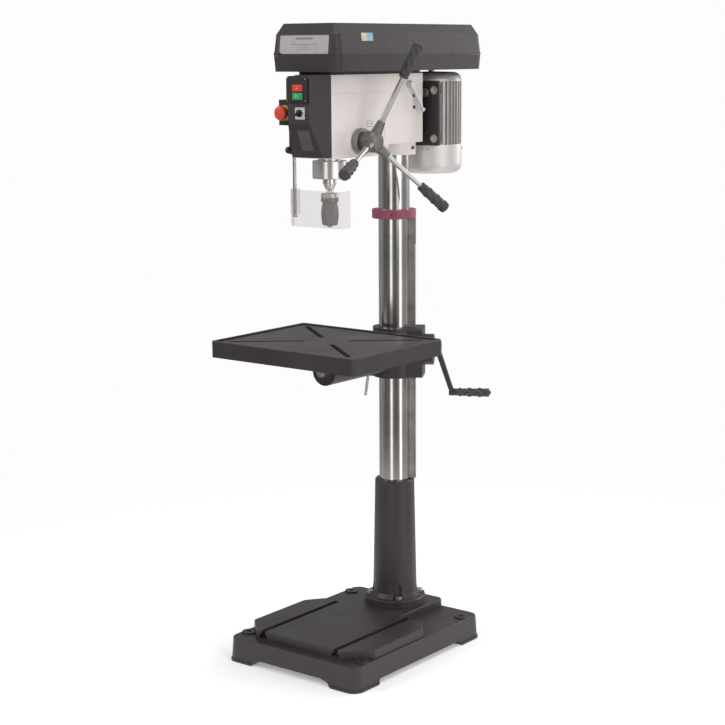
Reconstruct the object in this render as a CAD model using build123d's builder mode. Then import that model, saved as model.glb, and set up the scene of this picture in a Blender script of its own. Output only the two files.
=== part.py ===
"""Floor-standing drill press. Millimetres, +Z up, front of the machine towards -Y.

The origin is on the floor, at the middle of the base's four anchor holes.
"""
from build123d import *
from math import asin, atan2, cos, degrees, pi, radians, sin, tan
import os

os.makedirs("parts", exist_ok=True)

# ---------------------------------------------------------------- driving dimensions
RUN = 0.05                 # radial clearance of a running fit
GAP = 0.3                  # clearance between bodies that move past each other

COLUMN_Y = 192.0           # column axis
THROAT = 300.0             # column axis to spindle axis
SPINDLE_Y = COLUMN_Y - THROAT
COLUMN_R = 46.0
COLUMN_BORE_R = 40.0
COLUMN_BOTTOM = 98.0
COLUMN_TOP = 1640.0

BASE_W = 483.0
BASE_L = 622.0
DECK_Z = 72.0              # low deck of the base
PAD_Z = 98.0               # raised work pad and column seat
ANCHOR_X = 420.0
ANCHOR_Y = 488.0
ANCHOR_R = 7.0

FOOT_TOP = 485.0
RACK_ANGLE = 30.0          # where the rack stands round the column
RACK_MODULE = 2.0
RACK_TOP = 1269.0
RACK_BOTTOM = 487.0

TABLE_W = 513.4
TABLE_L = 412.0
TABLE_TOP = 950.0
TABLE_Y = -128.5           # middle of the table
TABLE_EDGE = 47.0
TILT_Z = 860.0             # axis about which the table tilts
COLLAR_Z = (800.0, 948.0)

HEAD_HALF = 65.0
HEAD_FRONT = -178.0
HEAD_BACK = 254.0
HEAD_TOP = 1691.0
QUILL_R = 32.0
FEED_MODULE = 2.0
FEED_TEETH = 12
FEED_PITCH_R = FEED_MODULE * FEED_TEETH / 2
FEED_Z = 1508.0
FEED_Y = SPINDLE_Y + QUILL_R - 2.2 + FEED_PITCH_R

MOTOR_Y = 380.0
IDLER_Y = 132.0
PULLEY_Z = 1714.0
STEP_H = 16.0
SPINDLE_STEPS = (88.0, 74.0, 60.0, 46.0)
IDLER_STEPS = (46.0, 60.0, 74.0, 88.0)
MOTOR_STEPS = (76.0, 62.0, 48.0, 34.0)
GROOVE_DEPTH = 8.0
BELT_TOP_W = 11.0
BELT_H = 7.0

COVER_HALF = 117.0
COVER_FRONT = -221.0
COVER_BACK = 487.0
COVER_CORNER = 29.0
TRAY_Z = 1700.0
PARTING_Z = 1743.0
SHOULDER_Z = 1800.0
LID_TOP = 1830.0


def save(piece, node):
    """Labels a finished piece and writes it."""
    piece.part.label = node
    export_step(piece.part, f"parts/{node}.step")


def on_column(angle, radius, height, normal="out"):
    """A plane at a point round the column axis. Its normal points outwards, or along the tangent."""
    out = Vector(cos(radians(angle)), sin(radians(angle)), 0)
    tangent = Vector(-sin(radians(angle)), cos(radians(angle)), 0)
    origin = (out.X * radius, COLUMN_Y + out.Y * radius, height)
    if normal == "out":
        return Plane(origin=origin, x_dir=tangent, z_dir=out)
    return Plane(origin=origin, x_dir=out, z_dir=-tangent)


def side(x):
    """A plane facing +X at x, with its own x along +Y and its own y along +Z."""
    return Plane(origin=(x, 0, 0), x_dir=(0, 1, 0), z_dir=(1, 0, 0))


def facing_front(y):
    """A plane facing -Y at y, with its own x along +X and its own y along +Z."""
    return Plane(origin=(0, y, 0), x_dir=(1, 0, 0), z_dir=(0, -1, 0))


# ---------------------------------------------------------------- base
WALL = 16.0
CELLS_X, CELLS_Y = 3, 4
CELL_W, CELL_L = 134.0, 131.0
RIB = 12.0
ARCH_H = 20.0
SLOT_X = 134.0
SLOT_W = 16.0
SLOT_T = 28.0

with BuildPart() as base_casting:
    with BuildSketch():
        RectangleRounded(BASE_W, BASE_L, 34)
    extrude(amount=7)
    with BuildSketch(Plane.XY.offset(7)):
        RectangleRounded(BASE_W - 5, BASE_L - 5, 32)
    extrude(amount=DECK_Z - 7, taper=4)
    fillet(base_casting.faces().sort_by(Axis.Z)[-1].edges(), 5)
    with BuildSketch(Plane.XY.offset(DECK_Z - 1)):
        with BuildLine():
            Polyline((-226, -204), (-160, -270), (160, -270), (226, -204), (226, 28), (186, 80),
                     (-186, 80), (-226, 28), close=True)
        make_face()
        with Locations((0, COLUMN_Y - 6)):
            RectangleRounded(216, 228, 20)
    extrude(amount=PAD_Z - DECK_Z + 1, taper=3)
    fillet(base_casting.faces().sort_by(Axis.Z)[-1].edges(), 3)
    # T-slots, open at the front of the pad
    with Locations((-SLOT_X, -100, PAD_Z - 12), (SLOT_X, -100, PAD_Z - 12)):
        Box(SLOT_W, 352, 12, align=(Align.CENTER, Align.CENTER, Align.MIN), mode=Mode.SUBTRACT)
    with Locations((-SLOT_X, -100, PAD_Z - 22), (SLOT_X, -100, PAD_Z - 22)):
        Box(SLOT_T, 352, 11, align=(Align.CENTER, Align.CENTER, Align.MIN), mode=Mode.SUBTRACT)
    # open underside, ribbed
    with GridLocations(CELL_W + RIB, CELL_L + RIB, CELLS_X, CELLS_Y):
        Box(CELL_W, CELL_L, DECK_Z - WALL, align=(Align.CENTER, Align.CENTER, Align.MIN), mode=Mode.SUBTRACT)
    # arches between the feet, cut right through
    with BuildSketch(Plane.XZ.offset(-BASE_L)):
        with BuildLine():
            Polyline((-150, -1), (-134, ARCH_H * 0.7), (-110, ARCH_H), (110, ARCH_H),
                     (134, ARCH_H * 0.7), (150, -1), close=True)
        make_face()
    extrude(amount=2 * BASE_L, mode=Mode.SUBTRACT)
    with BuildSketch(side(-BASE_W)):
        with BuildLine():
            Polyline((-206, -1), (-196, ARCH_H * 0.8), (196, ARCH_H * 0.8), (206, -1), close=True)
        make_face()
    extrude(amount=2 * BASE_W, mode=Mode.SUBTRACT)
    # anchor bosses and holes
    with GridLocations(ANCHOR_X, ANCHOR_Y, 2, 2):
        Cylinder(21, DECK_Z + 4, align=(Align.CENTER, Align.CENTER, Align.MIN))
        Cylinder(ANCHOR_R, 200, mode=Mode.SUBTRACT)
    with BuildSketch(Plane.XY.offset(PAD_Z - 30)):
        with Locations((0, COLUMN_Y)):
            with PolarLocations(74, 4, 45):
                Circle(5.9)
    extrude(amount=40, mode=Mode.SUBTRACT)
save(base_casting, "base_casting")

# ---------------------------------------------------------------- column foot, its bolts, the column
FLANGE_R = 92.0
FLANGE_H = 24.0
BOLT_CIRCLE_R = 74.0

with BuildPart() as column_foot:
    with BuildSketch(Plane.XZ.offset(-COLUMN_Y)):
        with BuildLine():
            Polyline((COLUMN_R, PAD_Z), (FLANGE_R, PAD_Z), (FLANGE_R, PAD_Z + FLANGE_H - 3),
                     (FLANGE_R - 3, PAD_Z + FLANGE_H), (76, PAD_Z + FLANGE_H + 1), (68, PAD_Z + FLANGE_H + 14),
                     (66, PAD_Z + FLANGE_H + 34), (59, FOOT_TOP - 4), (56, FOOT_TOP), (COLUMN_R, FOOT_TOP),
                     close=True)
        make_face()
    revolve(axis=Axis((0, COLUMN_Y, 0), (0, 0, 1)))
    with Locations((0, COLUMN_Y, PAD_Z)):
        with PolarLocations(BOLT_CIRCLE_R, 4, 45):
            Cylinder(17, FLANGE_H + 2, align=(Align.CENTER, Align.CENTER, Align.MIN))
            Cylinder(7, 100, mode=Mode.SUBTRACT)
    with Locations((0, COLUMN_Y, PAD_Z + FLANGE_H + 2)):
        with PolarLocations(BOLT_CIRCLE_R, 4, 45):
            Cylinder(14, 40, align=(Align.CENTER, Align.CENTER, Align.MIN), mode=Mode.SUBTRACT)
save(column_foot, "column_foot")

with BuildPart() as foot_bolts:
    with BuildSketch(Plane.XY.offset(PAD_Z + FLANGE_H + 2)):
        with Locations((0, COLUMN_Y)):
            with PolarLocations(BOLT_CIRCLE_R, 4, 45):
                RegularPolygon(11, 6)
    extrude(amount=9)
    with BuildSketch(Plane.XY.offset(PAD_Z - 24)):
        with Locations((0, COLUMN_Y)):
            with PolarLocations(BOLT_CIRCLE_R, 4, 45):
                Circle(5.9)
    extrude(amount=FLANGE_H + 26.5)
save(foot_bolts, "foot_bolts")

with BuildPart() as column_tube:
    with BuildSketch(Plane.XY.offset(COLUMN_BOTTOM)):
        with Locations((0, COLUMN_Y)):
            Circle(COLUMN_R)
            Circle(COLUMN_BORE_R, mode=Mode.SUBTRACT)
    extrude(amount=COLUMN_TOP - COLUMN_BOTTOM)
save(column_tube, "column_tube")

# ---------------------------------------------------------------- rack and its ring
RACK_IN = COLUMN_R + GAP
RACK_OUT = 64.0
RACK_W = 22.0
PITCH = pi * RACK_MODULE
TOOTH_H = 2.25 * RACK_MODULE
FIRST_TOOTH = 497.0
TOOTHED_TOP = 1190.0

with BuildPart() as table_rack:
    with BuildSketch(on_column(RACK_ANGLE, 0, 0, "tangent")):
        outline = [(RACK_IN - 4, RACK_BOTTOM), (RACK_OUT, RACK_BOTTOM)]
        z = FIRST_TOOTH
        while z < TOOTHED_TOP:
            outline += [(RACK_OUT, z - 0.9), (RACK_OUT - TOOTH_H, z + 0.7)]
            outline += [(RACK_OUT - TOOTH_H, z + 2.5), (RACK_OUT, z + 4.1)]
            z += PITCH
        outline += [(RACK_OUT, RACK_TOP), (RACK_IN - 4, RACK_TOP)]
        with BuildLine():
            Polyline(*outline, close=True)
        make_face()
    extrude(amount=RACK_W / 2, both=True)
    with Locations((0, COLUMN_Y, 0)):
        Cylinder(RACK_IN, 4000, mode=Mode.SUBTRACT)
save(table_rack, "table_rack")

RING_R = 65.0
RING_TOP = 1298.0
RING_BOTTOM = 1271.5
RING_SCREW_ANGLE, RING_SCREW_Z = -60.0, 1285.0

with BuildPart() as rack_ring:
    with BuildSketch(Plane.XY.offset(RING_BOTTOM)):
        with Locations((0, COLUMN_Y)):
            Circle(RING_R)
            Circle(COLUMN_R, mode=Mode.SUBTRACT)
    extrude(amount=RING_TOP - RING_BOTTOM)
    fillet(rack_ring.edges().filter_by(GeomType.CIRCLE).sort_by(SortBy.RADIUS)[-2:], 1.5)
    with BuildSketch(on_column(RING_SCREW_ANGLE, 0, RING_SCREW_Z)):
        Circle(3)
    extrude(amount=100, mode=Mode.SUBTRACT)
save(rack_ring, "rack_ring")

# ---------------------------------------------------------------- table bracket and its raising gear
COLLAR_R = 64.0
COLLAR_MID = (COLLAR_Z[0] + COLLAR_Z[1]) / 2
COLLAR_H = COLLAR_Z[1] - COLLAR_Z[0]
GEARBOX_Z = 880.0
GEARBOX_R = 46.0
GEARBOX_OUT = 118.0
PINION_TEETH = 12
PINION_PITCH_R = RACK_MODULE * PINION_TEETH / 2
PINION_AT = RACK_OUT - RACK_MODULE + PINION_PITCH_R + 0.2
PINION_Z = FIRST_TOOTH + 1.6 + PITCH * round((GEARBOX_Z - 18 - FIRST_TOOTH) / PITCH)
WORM_Z = PINION_Z + 27.0
WORM_R = 8.0
WORM_SHIFT = 20.0          # the worm stands beside the pinion, over its wheel
TILT_BOSS_R = 41.0
TILT_FACE_Y = 62.0
EAR_ANGLE = 218.0
EAR_Z = 818.0
PIVOT_R = 10.0


def gear_outline(module, teeth, turn):
    """Points round a spur gear with straight-sided teeth, turned by an angle in degrees."""
    pitch_r = module * teeth / 2
    corners = []
    for tooth in range(teeth):
        middle = radians(turn + 360 * tooth / teeth)
        for radius, half in ((pitch_r - 1.2 * module, 0.62), (pitch_r + 0.85 * module, 0.25)):
            corners.append((radius, middle - half * pi / teeth))
        for radius, half in ((pitch_r + 0.85 * module, 0.25), (pitch_r - 1.2 * module, 0.62)):
            corners.append((radius, middle + half * pi / teeth))
    return [(r * cos(a), r * sin(a)) for r, a in corners]


with BuildPart() as table_bracket:
    with BuildSketch(Plane.XY.offset(COLLAR_Z[0])):
        with Locations((0, COLUMN_Y)):
            Circle(COLLAR_R)
    extrude(amount=COLLAR_H)
    with BuildSketch(on_column(RACK_ANGLE, 30, COLLAR_MID)):
        RectangleRounded(92, COLLAR_H, 8)
    extrude(amount=58)
    with BuildSketch(on_column(RACK_ANGLE, 60, GEARBOX_Z)):
        Circle(GEARBOX_R)
    extrude(amount=GEARBOX_OUT - 60)
    # arm and pivot face that carry the table
    with BuildSketch(facing_front(COLUMN_Y - 40)):
        with Locations((0, TILT_Z)):
            Circle(TILT_BOSS_R)
    extrude(amount=COLUMN_Y - 40 - TILT_FACE_Y)
    with BuildSketch(facing_front(COLUMN_Y - 40)):
        with Locations((0, TILT_Z - 18)):
            RectangleRounded(46, 66, 6)
    extrude(amount=40)
    # split clamp ears
    with BuildSketch(on_column(EAR_ANGLE, 50, EAR_Z)):
        RectangleRounded(46, 34, 5)
    extrude(amount=38)
    with BuildSketch(on_column(EAR_ANGLE, 30, COLLAR_MID)):
        Rectangle(3, COLLAR_H + 2)
    extrude(amount=70, mode=Mode.SUBTRACT)
    with BuildSketch(on_column(EAR_ANGLE, 77, EAR_Z, "tangent")):
        Circle(6.1)
    extrude(amount=40, both=True, mode=Mode.SUBTRACT)
    # column bore, with the rack's groove
    with BuildSketch(Plane.XY.offset(COLLAR_Z[0])):
        with Locations((0, COLUMN_Y)):
            Circle(COLUMN_R + 0.08)
    extrude(amount=COLLAR_H, mode=Mode.SUBTRACT)
    with BuildSketch(on_column(RACK_ANGLE, 30, COLLAR_MID)):
        Rectangle(RACK_W + 2 * GAP, COLLAR_H + 2)
    extrude(amount=RACK_OUT - 30 + GAP, mode=Mode.SUBTRACT)
    # pinion and wheel chamber, its bearing bore, and the worm shaft's bore
    with BuildSketch(on_column(RACK_ANGLE, PINION_AT, PINION_Z, "tangent")):
        Circle(16)
    extrude(amount=12, both=True, mode=Mode.SUBTRACT)
    with BuildSketch(on_column(RACK_ANGLE, PINION_AT, PINION_Z, "tangent")):
        Circle(6 + RUN)
    extrude(amount=60, both=True, mode=Mode.SUBTRACT)
    with BuildSketch(on_column(RACK_ANGLE, PINION_AT, PINION_Z, "tangent").offset(13)):
        Circle(20)
    extrude(amount=14, mode=Mode.SUBTRACT)
    with BuildSketch(on_column(RACK_ANGLE, PINION_AT - 12, WORM_Z)):
        with Locations((-WORM_SHIFT, 0)):
            Circle(WORM_R + GAP)
    extrude(amount=60, mode=Mode.SUBTRACT)
    # tilt pivot bore
    with BuildSketch(facing_front(COLUMN_Y)):
        with Locations((0, TILT_Z)):
            Circle(PIVOT_R)
    extrude(amount=200, mode=Mode.SUBTRACT)
save(table_bracket, "table_bracket")

with BuildPart() as tilt_bolt:
    with BuildSketch(facing_front(COLUMN_Y - COLUMN_R - 4)):
        with Locations((0, TILT_Z)):
            Circle(PIVOT_R)
    extrude(amount=COLUMN_Y - COLUMN_R - 4 + 162)
    with BuildSketch(facing_front(-142.3)):
        with Locations((0, TILT_Z)):
            RegularPolygon(16, 6)
    extrude(amount=16)
save(tilt_bolt, "tilt_bolt")

with BuildPart() as table_pinion:
    tangent_plane = on_column(RACK_ANGLE, PINION_AT, PINION_Z, "tangent")
    with BuildSketch(tangent_plane):
        with BuildLine():
            Polyline(*gear_outline(RACK_MODULE, PINION_TEETH, 180), close=True)
        make_face()
    extrude(amount=10, both=True)
    with BuildSketch(tangent_plane):
        Circle(6)
    extrude(amount=44, both=True)
    with BuildSketch(tangent_plane.offset(14)):
        Circle(18)
    extrude(amount=12)
save(table_pinion, "table_pinion")

CRANK_HUB = (GEARBOX_OUT + 0.5, 142.0)
CRANK_GRIP_Z = WORM_Z - 134.0
CRANK_GRIP_AT = 180.0
CRANK_GRIP_LEN = 104.0
CRANK_PIN_R = 5.0

with BuildPart() as crank_arm:
    with BuildSketch(on_column(RACK_ANGLE, PINION_AT - 10, WORM_Z)):
        with Locations((-WORM_SHIFT, 0)):
            Circle(WORM_R)
    extrude(amount=CRANK_HUB[0] - PINION_AT + 12)
    with BuildSketch(on_column(RACK_ANGLE, CRANK_HUB[0], WORM_Z)):
        with Locations((-WORM_SHIFT, 0)):
            Circle(19)
    extrude(amount=CRANK_HUB[1] - CRANK_HUB[0])
    with BuildSketch(on_column(RACK_ANGLE, 0, 0, "tangent").offset(WORM_SHIFT)):
        with BuildLine():
            Polyline((CRANK_HUB[0] + 6, WORM_Z - 8), (CRANK_HUB[1] - 2, WORM_Z - 8),
                     (CRANK_GRIP_AT, CRANK_GRIP_Z + 4), (CRANK_GRIP_AT, CRANK_GRIP_Z - 4),
                     (CRANK_GRIP_AT - 14, CRANK_GRIP_Z - 4), (CRANK_GRIP_AT - 14, CRANK_GRIP_Z + 6), close=True)
        make_face()
    extrude(amount=9, both=True)
    with BuildSketch(on_column(RACK_ANGLE, CRANK_GRIP_AT - 14, CRANK_GRIP_Z)):
        with Locations((-WORM_SHIFT, 0)):
            Circle(11)
    extrude(amount=16)
    with BuildSketch(on_column(RACK_ANGLE, CRANK_GRIP_AT, CRANK_GRIP_Z)):
        with Locations((-WORM_SHIFT, 0)):
            Circle(CRANK_PIN_R)
    extrude(amount=CRANK_GRIP_LEN + 6)
save(crank_arm, "crank_arm")

with BuildPart() as crank_grip:
    with BuildSketch(on_column(RACK_ANGLE, 0, 0, "tangent").offset(WORM_SHIFT)):
        with BuildLine():
            grip_start = CRANK_GRIP_AT + 2 + GAP
            grip_end = grip_start + CRANK_GRIP_LEN
            inner = CRANK_GRIP_Z + CRANK_PIN_R + RUN
            Polyline((grip_start, inner), (grip_start, CRANK_GRIP_Z + 8))
            Spline((grip_start, CRANK_GRIP_Z + 8), (grip_start + 14, CRANK_GRIP_Z + 11.5),
                   (grip_start + 60, CRANK_GRIP_Z + 12.5), (grip_end - 3, CRANK_GRIP_Z + 13))
            Polyline((grip_end - 3, CRANK_GRIP_Z + 13), (grip_end, CRANK_GRIP_Z + 10), (grip_end, inner),
                     (grip_start, inner))
        make_face()
    grip_plane = on_column(RACK_ANGLE, CRANK_GRIP_AT, CRANK_GRIP_Z)
    revolve(axis=Axis(grip_plane.origin - grip_plane.x_dir * WORM_SHIFT, grip_plane.z_dir))
save(crank_grip, "crank_grip")

LEVER_FACE = 23.0 + GAP
with BuildPart() as table_lock:
    ear_plane = on_column(EAR_ANGLE, 77, EAR_Z, "tangent")
    with BuildSketch(ear_plane.offset(34)):
        Circle(6)
    extrude(amount=-35 - LEVER_FACE)
    with BuildSketch(ear_plane.offset(-LEVER_FACE)):
        Circle(11)
    extrude(amount=-18)
    with BuildSketch(ear_plane.offset(23 + GAP)):
        RegularPolygon(10, 6)
    extrude(amount=8)
    with BuildLine() as lever_line:
        lever_root = ear_plane.offset(-LEVER_FACE - 9).from_local_coords(Vector(0, 0, 0))
        lever_tip = ear_plane.offset(-LEVER_FACE - 14).from_local_coords(Vector(10, -72, 0))
        Line(lever_root, lever_tip)
    with BuildSketch(Plane(origin=lever_root, z_dir=lever_tip - lever_root)):
        Circle(4)
    sweep(path=lever_line.line)
save(table_lock, "table_lock")

# ---------------------------------------------------------------- table
RIM_W = 9.0
TROUGH_W = 12.0
SURFACE_Z = TABLE_TOP - 3.0
TROUGH_Z = TABLE_TOP - 9.0
PLATE_BOTTOM = TABLE_TOP - 25.0
TABLE_SLOT_W = 15.0
SLOT_NEAR, SLOT_FAR = 62.0, 276.0
TABLE_CORNER = 12.0
DIAGONAL = degrees(atan2(TABLE_L - 24, TABLE_W - 24))
TABLE_BOSS = (-142.0, TILT_FACE_Y - 0.5)

with BuildPart() as table_plate:
    with BuildSketch(Plane.XY.offset(TABLE_TOP - TABLE_EDGE)):
        with Locations((0, TABLE_Y)):
            RectangleRounded(TABLE_W, TABLE_L, TABLE_CORNER)
    extrude(amount=TABLE_EDGE)
    fillet(table_plate.faces().sort_by(Axis.Z)[-1].edges(), 2)
    with BuildSketch(Plane.XY.offset(TROUGH_Z)):
        with Locations((0, TABLE_Y)):
            RectangleRounded(TABLE_W - 2 * RIM_W, TABLE_L - 2 * RIM_W, TABLE_CORNER - 4)
            RectangleRounded(TABLE_W - 2 * RIM_W - 2 * TROUGH_W, TABLE_L - 2 * RIM_W - 2 * TROUGH_W, 5,
                             mode=Mode.SUBTRACT)
    extrude(amount=20, mode=Mode.SUBTRACT)
    with BuildSketch(Plane.XY.offset(SURFACE_Z)):
        with Locations((0, TABLE_Y)):
            Rectangle(TABLE_W - 2 * RIM_W - TROUGH_W, TABLE_L - 2 * RIM_W - TROUGH_W)
    extrude(amount=20, mode=Mode.SUBTRACT)
    # hollow underside with ribs along both axes
    with Locations((0, TABLE_Y, TABLE_TOP - TABLE_EDGE)):
        with GridLocations(122.5, 130.7, 4, 3):
            Box(112, 120, PLATE_BOTTOM - TABLE_TOP + TABLE_EDGE,
                align=(Align.CENTER, Align.CENTER, Align.MIN), mode=Mode.SUBTRACT)
    # pivot boss on a web
    with BuildSketch(facing_front(TABLE_BOSS[1])):
        with Locations((0, TILT_Z)):
            Circle(TILT_BOSS_R)
    extrude(amount=TABLE_BOSS[1] - TABLE_BOSS[0])
    with BuildSketch(facing_front(TABLE_BOSS[1])):
        with Locations((0, TILT_Z + 40)):
            Rectangle(60, 60)
    extrude(amount=TABLE_BOSS[1] - TABLE_BOSS[0])
    with BuildSketch(facing_front(100)):
        with Locations((0, TILT_Z)):
            Circle(PIVOT_R + RUN)
    extrude(amount=300, mode=Mode.SUBTRACT)
    # four diagonal slots
    for turn in (DIAGONAL, 180 - DIAGONAL, 180 + DIAGONAL, -DIAGONAL):
        with BuildSketch(Plane.XY.offset(PLATE_BOTTOM - 60)):
            with Locations(Location((0, TABLE_Y, 0), (0, 0, turn))):
                with Locations(((SLOT_NEAR + SLOT_FAR) / 2, 0)):
                    SlotOverall(SLOT_FAR - SLOT_NEAR, TABLE_SLOT_W)
        extrude(amount=160, mode=Mode.SUBTRACT)
save(table_plate, "table_plate")

# ---------------------------------------------------------------- head
HEAD_BOTTOM = 1463.0
HEAD_REAR_BOTTOM = 1493.0
CLAMP_BOTTOM = 1458.0
JOINT_LINE_Z = 1640.0
FEED_BORE_R = 14.0
FEED_BOSS_X = 72.0
ROD_X, ROD_Z, ROD_R = 40.0, 1658.0, 8.0
SLEEVE_R = 16.0

with BuildPart() as head_casting:
    with BuildSketch(side(-HEAD_HALF)):
        with BuildLine():
            Polyline((HEAD_FRONT, HEAD_BOTTOM), (60, HEAD_BOTTOM), (84, HEAD_REAR_BOTTOM),
                     (HEAD_BACK, HEAD_REAR_BOTTOM), (HEAD_BACK, HEAD_TOP), (HEAD_FRONT, HEAD_TOP), close=True)
        make_face()
    extrude(amount=2 * HEAD_HALF)
    fillet(head_casting.edges().filter_by(Axis.Z).sort_by(Axis.Y)[-2:], 12)
    fillet(head_casting.edges().filter_by(Axis.X).sort_by(Axis.Z)[:2], 4)
    with BuildSketch(Plane.XY.offset(CLAMP_BOTTOM)):
        with Locations((0, COLUMN_Y)):
            Circle(COLLAR_R)
    extrude(amount=60)
    with BuildSketch(side(HEAD_HALF)):
        with Locations((FEED_Y, FEED_Z)):
            Circle(38)
    extrude(amount=FEED_BOSS_X - HEAD_HALF)
    # casting joint line
    with BuildSketch(Plane.XY.offset(JOINT_LINE_Z)):
        with Locations((0, (HEAD_FRONT + HEAD_BACK) / 2)):
            Rectangle(200, HEAD_BACK - HEAD_FRONT + 60)
            Rectangle(2 * HEAD_HALF - 4, HEAD_BACK - HEAD_FRONT - 4, mode=Mode.SUBTRACT)
    extrude(amount=1.8, mode=Mode.SUBTRACT)
    # column bore and its clamp screws
    with BuildSketch(Plane.XY.offset(CLAMP_BOTTOM)):
        with Locations((0, COLUMN_Y)):
            Circle(COLUMN_R)
    extrude(amount=COLUMN_TOP - CLAMP_BOTTOM, mode=Mode.SUBTRACT)
    # hollow between the quill housing and the column
    with Locations((0, 49, HEAD_BOTTOM - 5)):
        Box(98, 122, 214, align=(Align.CENTER, Align.CENTER, Align.MIN), mode=Mode.SUBTRACT)
    # quill bore, drive sleeve bore and feed shaft bore
    with BuildSketch(Plane.XY.offset(HEAD_BOTTOM - 5)):
        with Locations((0, SPINDLE_Y)):
            Circle(QUILL_R + RUN)
    extrude(amount=195, mode=Mode.SUBTRACT)
    with BuildSketch(Plane.XY.offset(HEAD_BOTTOM)):
        with Locations((0, SPINDLE_Y)):
            Circle(SLEEVE_R + RUN)
    extrude(amount=300, mode=Mode.SUBTRACT)
    with BuildSketch(side(-100)):
        with Locations((FEED_Y, FEED_Z)):
            Circle(FEED_BORE_R + RUN)
    extrude(amount=200, mode=Mode.SUBTRACT)
    # motor slide rod bores
    with BuildSketch(facing_front(HEAD_BACK + 5)):
        with Locations((-ROD_X, ROD_Z), (ROD_X, ROD_Z)):
            Circle(ROD_R + RUN)
    extrude(amount=160, mode=Mode.SUBTRACT)
save(head_casting, "head_casting")

with BuildPart() as set_screws:
    with BuildSketch(on_column(RING_SCREW_ANGLE, COLUMN_R, RING_SCREW_Z)):
        Circle(3)
    extrude(amount=16)
    with BuildSketch(on_column(RING_SCREW_ANGLE, COLUMN_R + 16, RING_SCREW_Z)):
        RegularPolygon(1.7, 6)
    extrude(amount=-4, mode=Mode.SUBTRACT)
    with BuildSketch(side(HEAD_HALF)):
        with Locations((202, 1628), (202, 1594), (196, 1478)):
            Circle(5)
            RegularPolygon(2.6, 6, mode=Mode.SUBTRACT)
    extrude(amount=2.5)
save(set_screws, "set_screws")

# ---------------------------------------------------------------- quill, spindle, chuck
QUILL_Z = (1410.0, 1650.0)
QUILL_BORE_R = 14.0
BEARING_R = 21.0
BEARING_H = 15.0
SPINDLE_R = 12.0
NOSE_Z = (1374.0, 1406.0)
NOSE_R = 19.0
SPLINE_TOP = 1812.0
COLLAR_BAND_Z = (1405.0, 1455.0)
COLLAR_BAND_R = 48.0
FEED_TRAVEL = 120.0
FEED_PITCH = pi * FEED_MODULE

with BuildPart() as quill:
    with BuildSketch(Plane.XY.offset(QUILL_Z[0])):
        with Locations((0, SPINDLE_Y)):
            Circle(QUILL_R)
            Circle(QUILL_BORE_R, mode=Mode.SUBTRACT)
    extrude(amount=QUILL_Z[1] - QUILL_Z[0])
    # collar band round the foot
    with BuildSketch(Plane.XY.offset(COLLAR_BAND_Z[0])):
        with Locations((0, SPINDLE_Y)):
            Circle(COLLAR_BAND_R)
    extrude(amount=COLLAR_BAND_Z[1] - COLLAR_BAND_Z[0])
    fillet(quill.edges().filter_by(GeomType.CIRCLE).sort_by(SortBy.RADIUS)[-2:], 2)
    with BuildSketch(Plane.XY.offset(COLLAR_BAND_Z[0])):
        with Locations((0, SPINDLE_Y)):
            Circle(NOSE_R + 1)
    extrude(amount=QUILL_Z[0] - COLLAR_BAND_Z[0], mode=Mode.SUBTRACT)
    with BuildSketch(Plane.XY.offset(QUILL_Z[0])):
        with Locations((0, SPINDLE_Y)):
            Circle(QUILL_BORE_R)
    extrude(amount=60, mode=Mode.SUBTRACT)
    # bearing seats
    for bottom in (QUILL_Z[0], QUILL_Z[1] - BEARING_H):
        with BuildSketch(Plane.XY.offset(bottom)):
            with Locations((0, SPINDLE_Y)):
                Circle(BEARING_R)
        extrude(amount=BEARING_H, mode=Mode.SUBTRACT)
    # rack teeth down the back
    with BuildSketch(side(-11)):
        back = SPINDLE_Y + QUILL_R
        outline = [(back + 3, FEED_Z - 3.5 * FEED_PITCH)]
        step = -3
        while FEED_Z + step * FEED_PITCH < FEED_Z + FEED_TRAVEL + 1.2 * FEED_PITCH:
            middle = FEED_Z + step * FEED_PITCH
            outline += [(back - 0.2, middle - 2.5), (back - 4.7, middle - 0.9)]
            outline += [(back - 4.7, middle + 0.9), (back - 0.2, middle + 2.5)]
            step += 1
        outline += [(back + 3, middle + 3)]
        with BuildLine():
            Polyline(*outline, close=True)
        make_face()
    extrude(amount=22, mode=Mode.SUBTRACT)
save(quill, "quill")

with BuildPart() as quill_bearings:
    for bottom in (QUILL_Z[0], QUILL_Z[1] - BEARING_H):
        with BuildSketch(Plane.XY.offset(bottom)):
            with Locations((0, SPINDLE_Y)):
                Circle(BEARING_R)
                Circle(SPINDLE_R + RUN, mode=Mode.SUBTRACT)
        extrude(amount=BEARING_H)
save(quill_bearings, "quill_bearings")

with BuildPart() as spindle:
    with BuildSketch(Plane.YZ):
        with BuildLine():
            Polyline((SPINDLE_Y, NOSE_Z[0]), (SPINDLE_Y + 11, NOSE_Z[0]), (SPINDLE_Y + NOSE_R, NOSE_Z[0] + 17),
                     (SPINDLE_Y + NOSE_R, NOSE_Z[1]), (SPINDLE_Y + SPINDLE_R, NOSE_Z[1] + 2),
                     (SPINDLE_Y + SPINDLE_R, QUILL_Z[1] + 4), (SPINDLE_Y + 9, QUILL_Z[1] + 7),
                     (SPINDLE_Y + 9, SPLINE_TOP), (SPINDLE_Y, SPLINE_TOP), close=True)
        make_face()
    revolve(axis=Axis((0, SPINDLE_Y, 0), (0, 0, 1)))
    with BuildSketch(Plane.XY.offset(QUILL_Z[1] + 8)):
        with Locations((0, SPINDLE_Y)):
            with PolarLocations(8.6, 6):
                Rectangle(4, 3.4)
    extrude(amount=SPLINE_TOP - QUILL_Z[1] - 8)
    with BuildSketch(Plane.XY.offset(NOSE_Z[0])):
        with Locations((0, SPINDLE_Y)):
            Circle(8)
    extrude(amount=30, mode=Mode.SUBTRACT)
save(spindle, "spindle")

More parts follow.
